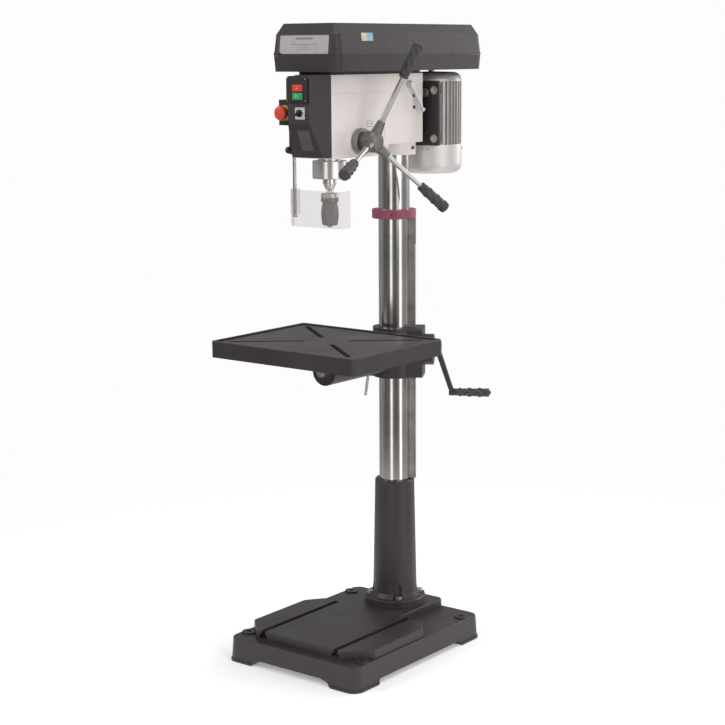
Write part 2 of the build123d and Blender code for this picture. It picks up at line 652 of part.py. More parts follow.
CHUCK_TOP = 1365.0
CHUCK_SPLIT = 1351.0
CHUCK_BOTTOM = 1274.0
CORE_R = 15.0
JAW_R = 3.2
JAW_TIP = 1268.0
JAW_TIP_R = 4.2
JAW_SLOPE = 8.0
JAW_LEN = 34.0

with BuildPart() as chuck_body:
    with BuildSketch(Plane.YZ):
        with BuildLine():
            Polyline((SPINDLE_Y, CHUCK_BOTTOM + 8), (SPINDLE_Y + 11.5, CHUCK_BOTTOM + 8),
                     (SPINDLE_Y + CORE_R, CHUCK_BOTTOM + 14), (SPINDLE_Y + CORE_R, CHUCK_SPLIT),
                     (SPINDLE_Y + 24, CHUCK_SPLIT), (SPINDLE_Y + 25, CHUCK_SPLIT + 3),
                     (SPINDLE_Y + 24, CHUCK_TOP - 2), (SPINDLE_Y + 10, CHUCK_TOP), (SPINDLE_Y + 8, NOSE_Z[0]),
                     (SPINDLE_Y + 8, NOSE_Z[0] + 29), (SPINDLE_Y, NOSE_Z[0] + 29), close=True)
        make_face()
    revolve(axis=Axis((0, SPINDLE_Y, 0), (0, 0, 1)))
    for turn in (0, 120, 240):
        jaw_line = Vector(0, 0, 1).rotate(Axis.Y, JAW_SLOPE).rotate(Axis.Z, turn)
        foot = Vector(JAW_TIP_R, 0, 0).rotate(Axis.Z, turn) + Vector(0, SPINDLE_Y, JAW_TIP)
        with BuildSketch(Plane(origin=foot, z_dir=jaw_line)):
            Circle(JAW_R + 0.15)
        extrude(amount=JAW_LEN + 12, mode=Mode.SUBTRACT)
save(chuck_body, "chuck_body")

for number, turn in enumerate((0, 120, 240), 1):
    with BuildPart() as jaw:
        jaw_line = Vector(0, 0, 1).rotate(Axis.Y, JAW_SLOPE).rotate(Axis.Z, turn)
        foot = Vector(JAW_TIP_R, 0, 0).rotate(Axis.Z, turn) + Vector(0, SPINDLE_Y, JAW_TIP)
        with BuildSketch(Plane(origin=foot, z_dir=jaw_line)):
            Circle(JAW_R)
        extrude(amount=JAW_LEN)
    save(jaw, f"chuck_jaw_{number}")

with BuildPart() as chuck_sleeve:
    with BuildSketch(Plane.YZ):
        bore = SPINDLE_Y + CORE_R + 0.1
        with BuildLine():
            Polyline((bore, CHUCK_BOTTOM + 13), (bore, CHUCK_SPLIT - GAP), (SPINDLE_Y + 25, CHUCK_SPLIT - GAP),
                     (SPINDLE_Y + 25, CHUCK_SPLIT - 9), (SPINDLE_Y + 21, CHUCK_SPLIT - 14))
            Spline((SPINDLE_Y + 21, CHUCK_SPLIT - 14), (SPINDLE_Y + 25, CHUCK_SPLIT - 34),
                   (SPINDLE_Y + 25, CHUCK_SPLIT - 54), (SPINDLE_Y + 21.5, CHUCK_BOTTOM + 2))
            Polyline((SPINDLE_Y + 21.5, CHUCK_BOTTOM + 2), (SPINDLE_Y + 19.5, CHUCK_BOTTOM),
                     (SPINDLE_Y + 12.5, CHUCK_BOTTOM), (bore, CHUCK_BOTTOM + 13))
        make_face()
    revolve(axis=Axis((0, SPINDLE_Y, 0), (0, 0, 1)))
save(chuck_sleeve, "chuck_sleeve")

# ---------------------------------------------------------------- feed shaft and capstan
DEPTH_RING_X = (FEED_BOSS_X + GAP, 92.0)
HUB_X = (92.6, 146.0)
ARM_ROOT_X = 118.0
ARM_TILT = 22.0
ARM_TURNS = (75.3, 195.3, 315.3)
ROD_ROOT, ROD_TIP = 8.0, 196.0
GRIP_ENDS = (194.0, 298.0)


def arm_plane(turn, distance):
    """A plane square to a capstan arm, at a distance along it from the hub's axis."""
    tilt, around = radians(ARM_TILT), radians(turn)
    along = Vector(sin(tilt), cos(tilt) * cos(around), cos(tilt) * sin(around))
    return Plane(origin=Vector(ARM_ROOT_X, FEED_Y, FEED_Z) + along * distance, z_dir=along)


with BuildPart() as feed_shaft:
    with BuildSketch(Plane(origin=(-10, FEED_Y, FEED_Z), x_dir=(0, 1, 0), z_dir=(1, 0, 0))):
        with BuildLine():
            Polyline(*gear_outline(FEED_MODULE, FEED_TEETH, 180), close=True)
        make_face()
    extrude(amount=20)
    with BuildSketch(side(-88)):
        with Locations((FEED_Y, FEED_Z)):
            Circle(8)
    extrude(amount=88 + HUB_X[0] + 20)
    for start, end in ((-64, -34), (34, 92)):
        with BuildSketch(side(start)):
            with Locations((FEED_Y, FEED_Z)):
                Circle(FEED_BORE_R)
        extrude(amount=end - start)
save(feed_shaft, "feed_shaft")

with BuildPart() as depth_ring:
    with BuildSketch(side(DEPTH_RING_X[0])):
        with Locations((FEED_Y, FEED_Z)):
            Circle(36)
            Circle(FEED_BORE_R + RUN, mode=Mode.SUBTRACT)
    extrude(amount=DEPTH_RING_X[1] - DEPTH_RING_X[0])
    fillet(depth_ring.edges().filter_by(GeomType.CIRCLE).sort_by(SortBy.RADIUS)[-2:], 1.5)
save(depth_ring, "depth_ring")

with BuildPart() as capstan_hub:
    with BuildSketch(Plane(origin=(HUB_X[0], FEED_Y, FEED_Z), x_dir=(1, 0, 0), z_dir=(0, 0, 1))):
        with BuildLine():
            Polyline((0, 0), (0, 27), (12, 30), (34, 30), (HUB_X[1] - HUB_X[0] - 6, 24))
            Line((HUB_X[1] - HUB_X[0] - 6, 24), (HUB_X[1] - HUB_X[0], 16))
            Polyline((HUB_X[1] - HUB_X[0], 16), (HUB_X[1] - HUB_X[0], 0), (0, 0))
        make_face()
    revolve(axis=Axis((0, FEED_Y, FEED_Z), (1, 0, 0)))
    for turn in ARM_TURNS:
        with BuildSketch(arm_plane(turn, 16)):
            Circle(17)
        with BuildSketch(arm_plane(turn, 62)):
            Circle(11)
        loft()
    for turn in ARM_TURNS:
        with BuildSketch(arm_plane(turn, ROD_ROOT)):
            Circle(8)
        extrude(amount=80, mode=Mode.SUBTRACT)
    with BuildSketch(side(HUB_X[0] - 1)):
        with Locations((FEED_Y, FEED_Z)):
            Circle(8)
    extrude(amount=21, mode=Mode.SUBTRACT)
save(capstan_hub, "capstan_hub")

with BuildPart() as capstan_rods:
    for turn in ARM_TURNS:
        with BuildSketch(arm_plane(turn, ROD_ROOT + 8)):
            Circle(8)
        extrude(amount=62 - ROD_ROOT - 8)
        with BuildSketch(arm_plane(turn, 62)):
            Circle(8)
        with BuildSketch(arm_plane(turn, ROD_TIP)):
            Circle(6.5)
        loft()
        with BuildSketch(arm_plane(turn, ROD_TIP)):
            Circle(6)
        extrude(amount=40)
save(capstan_rods, "capstan_rods")

GRIP_PROFILE = ((0, 11), (10, 13), (70, 15), (98, 16.5), (104, 13))

with BuildPart() as capstan_grips:
    for turn in ARM_TURNS:
        for (start, start_r), (end, end_r) in zip(GRIP_PROFILE, GRIP_PROFILE[1:]):
            with BuildSketch(arm_plane(turn, GRIP_ENDS[0] + start)):
                Circle(start_r)
            with BuildSketch(arm_plane(turn, GRIP_ENDS[0] + end)):
                Circle(end_r)
            loft()
        with BuildSketch(arm_plane(turn, GRIP_ENDS[0] - 1)):
            Circle(6.6)
        extrude(amount=ROD_TIP - GRIP_ENDS[0] + 1, mode=Mode.SUBTRACT)
        with BuildSketch(arm_plane(turn, ROD_TIP)):
            Circle(6)
        extrude(amount=40, mode=Mode.SUBTRACT)
save(capstan_grips, "capstan_grips")

with BuildPart() as spring_housing:
    with BuildSketch(side(-HEAD_HALF)):
        with Locations((FEED_Y, FEED_Z)):
            Circle(34)
    extrude(amount=-27)
    fillet(spring_housing.edges().filter_by(GeomType.CIRCLE).sort_by(Axis.X)[0], 4)
    with BuildSketch(side(-HEAD_HALF)):
        with Locations((FEED_Y, FEED_Z)):
            Circle(30)
    extrude(amount=-24, mode=Mode.SUBTRACT)
save(spring_housing, "spring_housing")

# ---------------------------------------------------------------- belt drive
SLEEVE_Z = (1662.0, 1792.0)
PULLEY_TOP = PULLEY_Z + 4 * STEP_H


def pulley_outline(steps, inner):
    """Half section of a stepped pulley with one V-groove in each step, as (radius, height) points."""
    points = [(inner, PULLEY_Z)]
    for level, radius in enumerate(steps):
        low = PULLEY_Z + level * STEP_H
        middle = low + STEP_H / 2
        points += [(radius, low), (radius, middle - 6), (radius - GROOVE_DEPTH, middle - 3)]
        points += [(radius - GROOVE_DEPTH, middle + 3), (radius, middle + 6), (radius, low + STEP_H)]
    return points + [(inner, PULLEY_TOP)]


def stepped_pulley(y, steps, inner):
    """Revolves a stepped pulley about the vertical line at y, inside the current part."""
    with BuildSketch(Plane.YZ) as half:
        with BuildLine():
            Polyline(*[(y + r, z) for r, z in pulley_outline(steps, inner)], close=True)
        make_face()
    revolve(half.sketch, axis=Axis((0, y, 0), (0, 0, 1)))


with BuildPart() as spindle_pulley:
    stepped_pulley(SPINDLE_Y, SPINDLE_STEPS, SLEEVE_R - 2)
    with BuildSketch(Plane.XY.offset(SLEEVE_Z[0])):
        with Locations((0, SPINDLE_Y)):
            Circle(SLEEVE_R)
    extrude(amount=SLEEVE_Z[1] - SLEEVE_Z[0])
    with BuildSketch(Plane.XY.offset(SLEEVE_Z[0])):
        with Locations((0, SPINDLE_Y)):
            Circle(9 + GAP)
            with PolarLocations(8.6, 6):
                Rectangle(4.6, 4.6)
    extrude(amount=SLEEVE_Z[1] - SLEEVE_Z[0], mode=Mode.SUBTRACT)
save(spindle_pulley, "spindle_pulley")

with BuildPart() as idler_pulley:
    stepped_pulley(IDLER_Y, IDLER_STEPS, 8 + RUN)
save(idler_pulley, "idler_pulley")

with BuildPart() as idler_shaft:
    with BuildSketch(Plane.XY.offset(TRAY_Z + 5)):
        with Locations((0, IDLER_Y)):
            Circle(20)
    extrude(amount=PULLEY_Z - TRAY_Z - 5 - GAP)
    with BuildSketch(Plane.XY.offset(TRAY_Z + 5)):
        with Locations((0, IDLER_Y)):
            Circle(8)
    extrude(amount=PULLEY_TOP - TRAY_Z + 3)
save(idler_shaft, "idler_shaft")

MOTOR_SHAFT_R = 9.0
with BuildPart() as motor_pulley:
    stepped_pulley(MOTOR_Y, MOTOR_STEPS, MOTOR_SHAFT_R)
save(motor_pulley, "motor_pulley")

with BuildPart() as motor_shaft:
    with BuildSketch(Plane.XY.offset(1500)):
        with Locations((0, MOTOR_Y)):
            Circle(MOTOR_SHAFT_R)
    extrude(amount=PULLEY_TOP + 2 - 1500)
save(motor_shaft, "motor_shaft")

BELT_RUNS = (
    (1, (SPINDLE_Y, SPINDLE_STEPS), (IDLER_Y, IDLER_STEPS)),
    (3, (IDLER_Y, IDLER_STEPS), (MOTOR_Y, MOTOR_STEPS)),
)

with BuildPart() as drive_belts:
    for level, (y1, steps1), (y2, steps2) in BELT_RUNS:
        r1, r2 = steps1[level] - 3.75, steps2[level] - 3.75
        lean = asin((r1 - r2) / (y2 - y1))
        belt_z = PULLEY_Z + (level + 0.5) * STEP_H
        normal = Vector(cos(lean), sin(lean), 0)
        near = Vector(0, y1, belt_z) + normal * r1
        far = Vector(0, y2, belt_z) + normal * r2
        with BuildLine() as belt_line:
            Line(near, far)
            ThreePointArc(far, (0, y2 + r2, belt_z), (-far.X, far.Y, belt_z))
            Line((-far.X, far.Y, belt_z), (-near.X, near.Y, belt_z))
            ThreePointArc((-near.X, near.Y, belt_z), (0, y1 - r1, belt_z), near)
        with BuildSketch(Plane(origin=near, x_dir=normal, z_dir=far - near)):
            with BuildLine():
                Polyline((-3.25, -2.9), (3.25, -5.1), (3.25, 5.1), (-3.25, 2.9), close=True)
            make_face()
        sweep(path=belt_line.wires()[0])
save(drive_belts, "drive_belts")

# ---------------------------------------------------------------- belt cover
COVER_MID = (COVER_FRONT + COVER_BACK) / 2
COVER_LEN = COVER_BACK - COVER_FRONT
HINGE_X, HINGE_Z = -COVER_HALF - 6.0, PARTING_Z + 1.5
HINGE_YS = (-40.0, 306.0)
HINGE_PIN_R = 2.0
SHELL = 4.0
LID_LEAN, LID_SLOPE = 7.0, 35.0
LID_LIP, LID_LIP_H = 0.9, 5.0
SHOULDER_IN = (SHOULDER_Z - PARTING_Z) * tan(radians(LID_LEAN))


def cover_outline(height, shrink=0.0):
    """The belt cover's rounded outline at a height."""
    with BuildSketch(Plane.XY.offset(height)) as outline:
        with Locations((0, COVER_MID)):
            RectangleRounded(2 * (COVER_HALF - shrink), COVER_LEN - 2 * shrink, COVER_CORNER - shrink)
    return outline.sketch


with BuildPart() as belt_tray:
    extrude(cover_outline(PARTING_Z), amount=TRAY_Z - PARTING_Z, taper=5)
    extrude(cover_outline(PARTING_Z, SHELL), amount=TRAY_Z + 5 - PARTING_Z, taper=5, mode=Mode.SUBTRACT)
    with BuildSketch(Plane.XY.offset(HEAD_TOP)):
        with Locations((0, (HEAD_FRONT + HEAD_BACK) / 2)):
            RectangleRounded(116, HEAD_BACK - HEAD_FRONT - 14, 8)
    extrude(amount=TRAY_Z - HEAD_TOP)
    with BuildSketch(Plane.XY.offset(HEAD_TOP - 5)):
        with Locations((0, SPINDLE_Y)):
            Circle(SLEEVE_R + 8)
        with Locations((0, MOTOR_Y - 6)):
            SlotOverall(38, 24, rotation=90)
    extrude(amount=30, mode=Mode.SUBTRACT)
    for y in HINGE_YS:
        for offset in (-17, 17):
            with Locations((HINGE_X, y + offset, HINGE_Z)):
                Cylinder(5, 14, rotation=(90, 0, 0))
            with Locations((HINGE_X + 4.5, y + offset, HINGE_Z - 6.5)):
                Box(8, 14, 10)
        with Locations((HINGE_X, y, HINGE_Z)):
            Cylinder(HINGE_PIN_R, 40, rotation=(90, 0, 0))
save(belt_tray, "belt_tray")

with BuildPart() as belt_lid:
    extrude(cover_outline(PARTING_Z + GAP), amount=SHOULDER_Z - PARTING_Z - GAP, taper=LID_LEAN)
    extrude(cover_outline(SHOULDER_Z, SHOULDER_IN), amount=LID_TOP - SHOULDER_Z, taper=LID_SLOPE)
    extrude(cover_outline(PARTING_Z + GAP, -LID_LIP), amount=LID_LIP_H)
    extrude(cover_outline(PARTING_Z, SHELL), amount=SHOULDER_Z - PARTING_Z, taper=LID_LEAN, mode=Mode.SUBTRACT)
    extrude(cover_outline(SHOULDER_Z - 0.1, SHOULDER_IN + SHELL + 0.4), amount=LID_TOP - SHOULDER_Z - SHELL,
            taper=LID_SLOPE, mode=Mode.SUBTRACT)
    for y in HINGE_YS:
        with Locations((HINGE_X, y, HINGE_Z)):
            Cylinder(5, 19.4, rotation=(90, 0, 0))
        with Locations((HINGE_X + 5, y, HINGE_Z + 4.5)):
            Box(7, 19.4, 9)
        with Locations((HINGE_X, y, HINGE_Z)):
            Cylinder(HINGE_PIN_R + RUN, 70, rotation=(90, 0, 0), mode=Mode.SUBTRACT)
    for x, y in ((-86, COVER_FRONT - 3), (86, COVER_BACK + 3)):
        with Locations((x, y, PARTING_Z + 6)):
            Box(16, 12, 6)
save(belt_lid, "belt_lid")

# ---------------------------------------------------------------- motor
MOTOR_R = 84.0
FIN_R = 90.0
MOTOR_Z = (1480.0, 1665.0)
COWL_BOTTOM = 1394.0
PLATE_Y = (277.0, 287.0)
PLATE_Z = (1480.0, 1668.0)
PLATE_BOLTS = ((84.0, 1501.0), (84.0, 1641.0))

with BuildPart() as motor_frame:
    with BuildSketch(Plane.XY.offset(MOTOR_Z[0])):
        with Locations((0, MOTOR_Y)):
            Circle(MOTOR_R)
            with PolarLocations((MOTOR_R + FIN_R) / 2 - 2, 40, 4.5):
                Rectangle(FIN_R - MOTOR_R + 4, 3)
    extrude(amount=MOTOR_Z[1] - MOTOR_Z[0])
    for x in (-58, 58):
        for bottom in (PLATE_BOLTS[0][1] - 14, PLATE_BOLTS[1][1] - 14):
            with Locations((x, PLATE_Y[1], bottom)):
                Box(24, 50, 28, align=(Align.CENTER, Align.MIN, Align.MIN))
    # end bell
    with BuildSketch(Plane.YZ):
        with BuildLine():
            Polyline((MOTOR_Y, MOTOR_Z[1]), (MOTOR_Y + FIN_R, MOTOR_Z[1]), (MOTOR_Y + FIN_R, MOTOR_Z[1] + 8),
                     (MOTOR_Y + 86, MOTOR_Z[1] + 17), (MOTOR_Y + 78, MOTOR_Z[1] + 24), (MOTOR_Y + 68, MOTOR_Z[1] + 27),
                     (MOTOR_Y, MOTOR_Z[1] + 29), close=True)
        make_face()
    revolve(axis=Axis((0, MOTOR_Y, 0), (0, 0, 1)))
    with BuildSketch(Plane.XY.offset(MOTOR_Z[0])):
        with Locations((0, MOTOR_Y)):
            Circle(MOTOR_SHAFT_R + RUN)
    extrude(amount=300, mode=Mode.SUBTRACT)
save(motor_frame, "motor_frame")

with BuildPart() as motor_cowl:
    with BuildSketch(Plane.XY.offset(COWL_BOTTOM)):
        with Locations((0, MOTOR_Y)):
            Circle(FIN_R + 1)
    extrude(amount=MOTOR_Z[0] - COWL_BOTTOM)
    fillet(motor_cowl.edges().group_by(Axis.Z)[0], 26)
    with BuildSketch(Plane.YZ):
        with BuildLine():
            Polyline((MOTOR_Y, COWL_BOTTOM + 3), (MOTOR_Y + 65, COWL_BOTTOM + 3))
            RadiusArc((MOTOR_Y + 65, COWL_BOTTOM + 3), (MOTOR_Y + 88, COWL_BOTTOM + 26), -23)
            Polyline((MOTOR_Y + 88, COWL_BOTTOM + 26), (MOTOR_Y + 88, MOTOR_Z[0]), (MOTOR_Y, MOTOR_Z[0]),
                     (MOTOR_Y, COWL_BOTTOM + 3))
        make_face()
    revolve(axis=Axis((0, MOTOR_Y, 0), (0, 0, 1)), mode=Mode.SUBTRACT)
    for radius, count in ((22, 8), (38, 14), (54, 20)):
        with BuildSketch(Plane.XY.offset(COWL_BOTTOM - 1)):
            with Locations((0, MOTOR_Y)):
                with PolarLocations(radius, count):
                    SlotOverall(12, 5)
        extrude(amount=6, mode=Mode.SUBTRACT)
save(motor_cowl, "motor_cowl")

with BuildPart() as motor_plate:
    with BuildSketch(facing_front(PLATE_Y[1])):
        with Locations((0, (PLATE_Z[0] + PLATE_Z[1]) / 2)):
            RectangleRounded(200, PLATE_Z[1] - PLATE_Z[0], 8)
        for x, z in PLATE_BOLTS:
            with Locations((x, z), (-x, z)):
                Circle(6, mode=Mode.SUBTRACT)
    extrude(amount=PLATE_Y[1] - PLATE_Y[0])
save(motor_plate, "motor_plate")

with BuildPart() as motor_fasteners:
    for x, z in PLATE_BOLTS:
        with BuildSketch(facing_front(PLATE_Y[1])):
            with Locations((x, z), (-x, z)):
                Circle(6)
        extrude(amount=PLATE_Y[1] - PLATE_Y[0])
        with BuildSketch(facing_front(PLATE_Y[0])):
            with Locations((x, z), (-x, z)):
                Circle(12)
        extrude(amount=2)
        with BuildSketch(facing_front(PLATE_Y[0] - 2)):
            with Locations((x, z), (-x, z)):
                RegularPolygon(9, 6)
        extrude(amount=6.5)
        # nut behind the plate
        with BuildSketch(facing_front(PLATE_Y[1])):
            with Locations((x, z), (-x, z)):
                RegularPolygon(10, 6)
        extrude(amount=-8)
    # star knob that locks the plate
    with BuildSketch(facing_front(PLATE_Y[0])):
        with Locations((57.5, 1634)):
            Circle(13)
            with PolarLocations(13.5, 8):
                Circle(2.2, mode=Mode.SUBTRACT)
    extrude(amount=9.5)
save(motor_fasteners, "motor_fasteners")

with BuildPart() as slide_rods:
    with BuildSketch(facing_front(PLATE_Y[0])):
        with Locations((-ROD_X, ROD_Z), (ROD_X, ROD_Z)):
            Circle(ROD_R)
    extrude(amount=PLATE_Y[0] - 128)
save(slide_rods, "slide_rods")

BOX_W = 88.0
BOX_BOTTOM = 1566.0

with BuildPart() as terminal_box:
    with BuildSketch(Plane.XY.offset(BOX_BOTTOM)):
        with Locations((0, MOTOR_Y + 76)):
            RectangleRounded(BOX_W, 46, 8)
        with Locations((0, MOTOR_Y)):
            Circle(FIN_R + 0.1, mode=Mode.SUBTRACT)
    extrude(amount=84)
    # cable gland
    with BuildSketch(side(-BOX_W / 2)):
        with Locations((MOTOR_Y + 88, BOX_BOTTOM + 20)):
            RegularPolygon(8.5, 6)
    extrude(amount=-8)
    with BuildSketch(side(-BOX_W / 2 - 8)):
        with Locations((MOTOR_Y + 88, BOX_BOTTOM + 20)):
            Circle(7)
            Circle(4, mode=Mode.SUBTRACT)
    extrude(amount=-12)
save(terminal_box, "terminal_box")

with BuildPart() as tension_lever:
    lever_hub = Vector(HEAD_HALF + GAP, 176, 1660)
    with BuildSketch(side(lever_hub.X)):
        with Locations((lever_hub.Y, lever_hub.Z)):
            Circle(11)
    extrude(amount=17)
    with BuildLine() as lever_line:
        root = Vector(lever_hub.X + 11, lever_hub.Y, lever_hub.Z)
        tip = Vector(lever_hub.X + 19, 219, 1587)
        Line(root, tip)
    with BuildSketch(Plane(origin=root, z_dir=tip - root)):
        Circle(4.5)
    sweep(path=lever_line.line)
    with Locations(tip):
        Sphere(7.5)
save(tension_lever, "tension_lever")

# ---------------------------------------------------------------- front cover and controls
FRONT_Y = -240.0
FRONT_HALF = 38.0
FRONT_BOTTOM = (-203.0, 1467.0)
BEND_Z = 1562.0
FRONT_TOP = 1689.0
FLANK_Y = -182.0
WALL_T = 4.0
WINDOW_W, WINDOW_H = 42.0, 60.0
ROTARY_AT = (6.0, 1589.0)
SLANT_ANGLE = atan2(FRONT_BOTTOM[0] - FRONT_Y, BEND_Z - FRONT_BOTTOM[1])
SLANT = Plane(origin=(8, (FRONT_Y + FRONT_BOTTOM[0]) / 2, (BEND_Z + FRONT_BOTTOM[1]) / 2), x_dir=(1, 0, 0),
              z_dir=(0, -cos(SLANT_ANGLE), -sin(SLANT_ANGLE)))

with BuildPart() as front_cover:
    with BuildSketch(side(-HEAD_HALF)):
        with BuildLine():
            Polyline((HEAD_FRONT, FRONT_BOTTOM[1]), FRONT_BOTTOM, (FRONT_Y, BEND_Z), (FRONT_Y, FRONT_TOP),
                     (HEAD_FRONT, FRONT_TOP), close=True)
        make_face()
    extrude(amount=2 * HEAD_HALF)
    with BuildSketch(Plane.XY.offset(FRONT_BOTTOM[1] - 1)):
        with BuildLine():
            Polyline((-HEAD_HALF, HEAD_FRONT), (-HEAD_HALF, FLANK_Y), (-FRONT_HALF, FRONT_Y), (FRONT_HALF, FRONT_Y),
                     (HEAD_HALF, FLANK_Y), (HEAD_HALF, HEAD_FRONT), close=True)
        make_face()
    extrude(amount=300, mode=Mode.INTERSECT)
    # inside, open at the back
    with BuildSketch(Plane.XY.offset(FRONT_BOTTOM[1] + WALL_T)):
        with BuildLine():
            Polyline((-58, HEAD_FRONT + 1), (-58, -184), (-50, -200), (50, -200), (58, -184), (58, HEAD_FRONT + 1),
                     close=True)
        make_face()
    extrude(amount=FRONT_TOP - FRONT_BOTTOM[1] - 2 * WALL_T, mode=Mode.SUBTRACT)
    with BuildSketch(Plane.XY.offset(BEND_Z)):
        with BuildLine():
            Polyline((-50, -199), (-35, FRONT_Y + 8), (35, FRONT_Y + 8), (50, -199), close=True)
        make_face()
    extrude(amount=FRONT_TOP - BEND_Z - WALL_T, mode=Mode.SUBTRACT)
    # pocket of the display window on the slanted face
    with BuildSketch(SLANT):
        RectangleRounded(WINDOW_W, WINDOW_H, 4)
    extrude(amount=-2.5, mode=Mode.SUBTRACT)
    # rotary switch hole
    with BuildSketch(facing_front(FRONT_Y - 1)):
        with Locations(ROTARY_AT):
            Circle(3 + RUN)
    extrude(amount=-12, mode=Mode.SUBTRACT)
save(front_cover, "front_cover")

with BuildPart() as display_window:
    with BuildSketch(SLANT.offset(-2.5)):
        RectangleRounded(WINDOW_W, WINDOW_H, 4)
    extrude(amount=2)
save(display_window, "display_window")

BUTTON_W, BUTTON_H = 33.0, 18.0
STOP_Z, START_Z = 1657.0, 1635.0
BUTTON_X = 4.0
SWITCH_FACE = FRONT_Y - 7.0

with BuildPart() as switch_housing:
    with BuildSketch(facing_front(FRONT_Y)):
        with Locations((-1, 1652)):
            RectangleRounded(72, 66, 3)
    extrude(amount=7)
    with BuildSketch(facing_front(SWITCH_FACE)):
        with Locations((BUTTON_X, STOP_Z), (BUTTON_X, START_Z)):
            RectangleRounded(BUTTON_W + 2 * GAP, BUTTON_H + 2 * GAP, 2.3)
    extrude(amount=-6, mode=Mode.SUBTRACT)
save(switch_housing, "switch_housing")

for node, z in (("stop_button", STOP_Z), ("start_button", START_Z)):
    with BuildPart() as button:
        with BuildSketch(facing_front(SWITCH_FACE + 3.2)):
            with Locations((BUTTON_X, z)):
                RectangleRounded(BUTTON_W, BUTTON_H, 2)
        extrude(amount=8)
        fillet(button.faces().sort_by(Axis.Y)[0].edges(), 1.5)
    save(button, node)

with BuildPart() as rotary_plate:
    with BuildSketch(facing_front(FRONT_Y)):
        with Locations(ROTARY_AT):
            RectangleRounded(32, 32, 2)
            Circle(3 + RUN, mode=Mode.SUBTRACT)
    extrude(amount=2.5)
save(rotary_plate, "rotary_plate")

with BuildPart() as rotary_knob:
    with BuildSketch(facing_front(FRONT_Y + 6)):
        with Locations(ROTARY_AT):
            Circle(3)
    extrude(amount=10)
    with BuildSketch(facing_front(FRONT_Y - 2.5 - GAP)):
        with Locations(ROTARY_AT):
            Circle(10)
    extrude(amount=5)
    with BuildSketch(facing_front(FRONT_Y - 7)):
        with Locations(Location((ROTARY_AT[0], ROTARY_AT[1]), (0, 0, 35))):
            RectangleRounded(19, 6, 2)
    extrude(amount=9)
save(rotary_knob, "rotary_knob")

ESTOP_FRONT = -208.0
ESTOP_Z = 1588.0
ESTOP_X = -75.0
with BuildPart() as estop_box:
    with BuildSketch(Plane.XY.offset(1554)):
        with BuildLine():
            flank = (FLANK_Y - ESTOP_FRONT) / (FLANK_Y - FRONT_Y) * (HEAD_HALF - FRONT_HALF)
            Polyline((-97, ESTOP_FRONT), (-HEAD_HALF + flank, ESTOP_FRONT), (-HEAD_HALF, FLANK_Y), (-HEAD_HALF, -165),
                     (-97, -165), close=True)
        make_face()
    extrude(amount=70)
    with BuildSketch(facing_front(ESTOP_FRONT - 1)):
        with Locations((ESTOP_X, ESTOP_Z)):
            Circle(6 + RUN)
    extrude(amount=-16, mode=Mode.SUBTRACT)
save(estop_box, "estop_box")

with BuildPart() as estop_collar:
    with BuildSketch(facing_front(ESTOP_FRONT)):
        with Locations((ESTOP_X, ESTOP_Z)):
            Circle(21.5)
            Circle(14, mode=Mode.SUBTRACT)
    extrude(amount=4)
save(estop_collar, "estop_collar")

with BuildPart() as estop_mushroom:
    with BuildSketch(Plane.XY.offset(ESTOP_Z)):
        with BuildLine():
            tip_y = -237.0
            Polyline((ESTOP_X, -201), (ESTOP_X + 6, -201), (ESTOP_X + 6, -214), (ESTOP_X + 13, -216),
                     (ESTOP_X + 13, -221), (ESTOP_X + 20, -223), (ESTOP_X + 20, -229), (ESTOP_X + 18, -233),
                     (ESTOP_X + 12, tip_y + 1), (ESTOP_X, tip_y), close=True)
        make_face()
    revolve(axis=Axis((ESTOP_X, 0, ESTOP_Z), (0, 1, 0)))
save(estop_mushroom, "estop_mushroom")

# ---------------------------------------------------------------- chuck guard
STEM_X, STEM_Y, STEM_R = -90.0, -153.0, 5.0
GUARD_X = (-87.0, 89.0)
GUARD_Y = (-179.0, -128.0)
GUARD_Z = (1273.0, 1375.0)
GUARD_T = 3.0

with BuildPart() as guard_bracket:
    with Locations((STEM_X, STEM_Y, 1512)):
        Box(18, 22, 80)
    with Locations((-73.5, STEM_Y, 1528)):
        Box(17, 22, 40)
    with Locations((STEM_X, STEM_Y, 1512)):
        Cylinder(STEM_R + RUN, 100, mode=Mode.SUBTRACT)
    with BuildSketch(facing_front(STEM_Y - 30)):
        with Locations((STEM_X, 1484)):
            Circle(3)
    extrude(amount=-26, mode=Mode.SUBTRACT)
save(guard_bracket, "guard_bracket")

with BuildPart() as guard_knob:
    with BuildSketch(facing_front(STEM_Y - STEM_R - 1)):
        with Locations((STEM_X, 1484)):
            Circle(3)
    extrude(amount=12)
    with Locations((STEM_X, STEM_Y - 24, 1484)):
        Sphere(10)
save(guard_knob, "guard_knob")

with BuildPart() as guard_stem:
    with BuildSketch(Plane.XY.offset(1300)):
        with Locations((STEM_X, STEM_Y)):
            Circle(STEM_R)
    extrude(amount=1566 - 1300)
    with BuildSketch(Plane.XY.offset(1300)):
        with Locations((STEM_X, STEM_Y)):
            Circle(8)
    extrude(amount=-4)
save(guard_stem, "guard_stem")

with BuildPart() as guard_clip:
    with Locations((STEM_X, STEM_Y, 1340)):
        Box(18, 18, 72)
    with Locations((GUARD_X[0] + GUARD_T + 2, STEM_Y - 3, 1340)):
        Box(4, 30, 72)
    with Locations((STEM_X, STEM_Y, 1340)):
        Cylinder(STEM_R + RUN, 100, mode=Mode.SUBTRACT)
save(guard_clip, "guard_clip")

